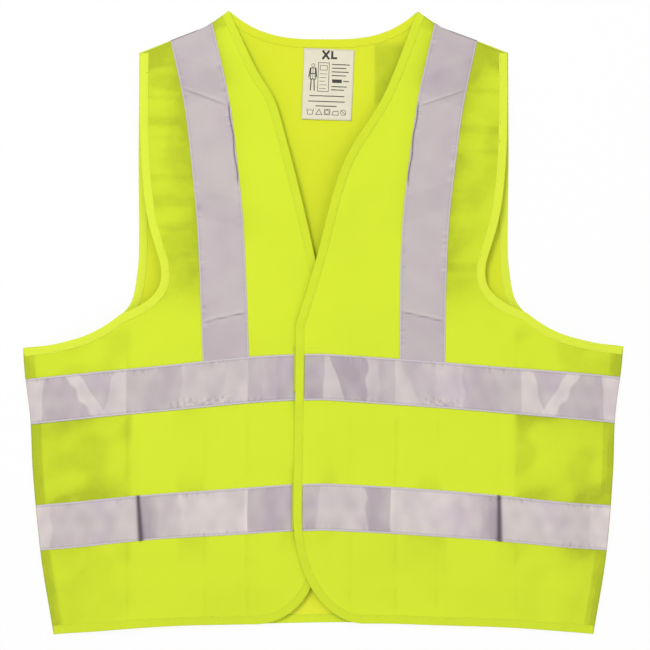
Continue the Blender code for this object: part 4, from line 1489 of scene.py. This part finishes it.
def ink_paint():
    """Matt black ink with worn, slightly paler specks."""
    paint = Paint("label_ink", Roughness=0.8)
    flat = paint.flat()
    specks = paint.noise(flat, 700.0, 2.0)
    paint.feed("Base Color", paint.blend(specks * 0.6, printed(34, 32, 36), printed(96, 92, 88)))
    return paint.material


class Print:
    """Flat shapes of ink: each is a thin prism that follows the label. Sizes are in millimetres."""

    def __init__(self):
        self.points = []
        self.faces = []

    def shape(self, outline):
        """A filled outline: across from the label's middle, and down from its top."""
        outline = np.array(outline, dtype=float) / 1000
        side = np.roll(outline, -1, axis=0) - outline
        onward = np.roll(outline, -2, axis=0) - outline
        if (side[:, 0] * onward[:, 1] - side[:, 1] * onward[:, 0]).sum() > 0:
            outline = outline[::-1]
        floor = on_label(outline[:, 0], outline[:, 1]) + (0, 0, INK_LEVEL)
        start, count = len(self.points), len(outline)
        self.points += floor.tolist() + (floor + (0, 0, INK_RISE)).tolist()
        ring = list(range(start, start + count))
        self.faces.append([i + count for i in ring])
        self.faces.append(ring[::-1])
        for i, j in zip(ring, ring[1:] + ring[:1]):
            self.faces.append([i, j, j + count, i + count])

    def stroke(self, *points, wide=0.6, closed=False):
        """A line of even width through points, with square ends."""
        ends = list(points) + ([points[0]] if closed else [])
        for (ax, ay), (bx, by) in zip(ends, ends[1:]):
            length = math.hypot(bx - ax, by - ay)
            ux, uy = (bx - ax) / length * wide / 2, (by - ay) / length * wide / 2
            self.shape([(ax - ux - uy, ay - uy + ux), (bx + ux - uy, by + uy + ux),
                        (bx + ux + uy, by + uy - ux), (ax - ux + uy, ay - uy - ux)])

    def ring(self, x, y, radius, wide=0.5):
        """A circle drawn as twelve short strokes."""
        turns = np.linspace(0, 2 * math.pi, 12, endpoint=False)
        spots = [(x + radius * math.cos(t), y + radius * math.sin(t)) for t in turns]
        self.stroke(*spots, wide=wide, closed=True)


# Everything printed, in millimetres across from the label's middle and down from its top edge.
# Strokes: how wide, whether the line closes, and its points. They draw the X, the frame with its
# inner box, the figure from arms to legs, and the care marks.
FIGURES = [
    (2.3, False, [(-6.4, 2.8), (-0.6, 10.2)]),
    (2.3, False, [(-0.6, 2.8), (-6.4, 10.2)]),
    (0.6, True, [(-11.0, 15.0), (0.5, 15.0), (0.5, 46.0), (-11.0, 46.0)]),
    (0.5, True, [(-9.0, 18.0), (-1.5, 18.0), (-1.5, 23.0), (-9.0, 23.0)]),
    (1.1, False, [(-19.6, 21.5), (-20.8, 30.5)]),
    (1.1, False, [(-13.6, 21.5), (-12.6, 30.5)]),
    (0.9, True, [(-19.0, 21.0), (-14.2, 21.0), (-13.9, 33.0), (-19.3, 33.0)]),
    (0.5, False, [(-16.6, 21.0), (-16.6, 33.0)]),
    (0.9, False, [(-19.0, 27.0), (-14.2, 27.0)]),
    (1.1, False, [(-18.2, 33.5), (-18.8, 45.0)]),
    (1.1, False, [(-15.2, 33.5), (-14.6, 45.0)]),
    (0.6, False, [(-21.6, 65.6), (-20.6, 71.4), (-15.6, 71.4), (-14.6, 65.6)]),
    (0.5, False, [(-21.3, 67.2), (-18.1, 66.4), (-14.9, 67.2)]),
    (0.6, True, [(-12.0, 71.4), (-8.6, 65.6), (-5.2, 71.4)]),
    (0.6, True, [(-2.8, 65.6), (3.2, 65.6), (3.2, 71.4), (-2.8, 71.4)]),
    (0.6, True, [(5.6, 71.4), (6.8, 67.6), (12.0, 67.0), (12.4, 71.4)]),
    (0.5, False, [(15.0, 66.0), (20.2, 71.0)]),
]
# The L and a solid bar.
SOLID_MARKS = [
    [(2.0, 2.2), (4.4, 2.2), (4.4, 8.6), (8.6, 8.6), (8.6, 10.8), (2.0, 10.8)],
    [(4.2, 32.6), (14.6, 32.6), (14.6, 36.4), (4.2, 36.4)],
]
# The figure's head and two care marks: where, and how large.
RINGS = [(-16.6, 18.2, 1.7), (0.2, 68.5, 2.1), (17.6, 68.5, 2.9)]
# Rows of dashes: where each starts and ends, and how far down it is.
DASHED_ROWS = [
    (4.0, 22.0, 16.5), (4.0, 20.0, 20.5), (4.0, 22.5, 24.5), (4.0, 19.0, 28.5), (16.6, 22.0, 34.5),
    (4.0, 21.0, 40.5), (4.0, 17.0, 44.0), (-19.0, 17.5, 51.0), (-20.0, 19.5, 57.0),
    (-12.0, 11.0, 62.0),
]


def size_label():
    """The label, then everything printed on it."""
    across, down = np.meshgrid(np.linspace(-0.5, 0.5, 30) * LABEL_WIDTH,
                               np.linspace(0, LABEL_DROP, 42))
    flat = np.stack([across, down], axis=-1)
    label = sheet("label", on_label(across, down), LABEL_LAYER, label_paint(), pattern=flat)
    ink = Print()
    for wide, closed, points in FIGURES:
        ink.stroke(*points, wide=wide, closed=closed)
    for outline in SOLID_MARKS:
        ink.shape(outline)
    for x, y, radius in RINGS:
        ink.ring(x, y, radius)
    for at in (27.0, 31.0, 35.0, 39.0, 43.0):
        ink.stroke((-9.0, at), (-1.5 - (at % 3), at), wide=0.5)
    draw = np.random.default_rng(5)
    for start, end, at in DASHED_ROWS:
        place = start
        while place < end - 0.8:
            dash = min(draw.uniform(1.2, 3.4), end - place)
            ink.stroke((place, at), (place + dash, at), wide=1.0)
            place += dash + 0.9
    printing = lay("label_print", ink.points, ink.faces, ink_paint(), smooth=False)
    top = on_label(np.linspace(-0.0255, 0.0255, 40), np.full(40, 0.0014)) + (0, 0, 0.00030)
    thread = stitches("label_stitches", [top], SILVER_THREAD)
    for piece in (label, printing, thread):
        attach(piece, "neck_label")
    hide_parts("size_label")


size_label()


# ---------------------------------------------------------------- finish
# What each panel is as flat cloth: its width, the area of its cut shape, and what is sewn to it.

panels = (("back", back, 2 * CHEST_X, 0.329), (1, fronts[1], CHEST_X - FREE_X[1], 0.162),
          (-1, fronts[-1], CHEST_X - FREE_X[-1], 0.148))
for owner, piece, width, area in panels:
    [] if owner == "back" else ["back"]
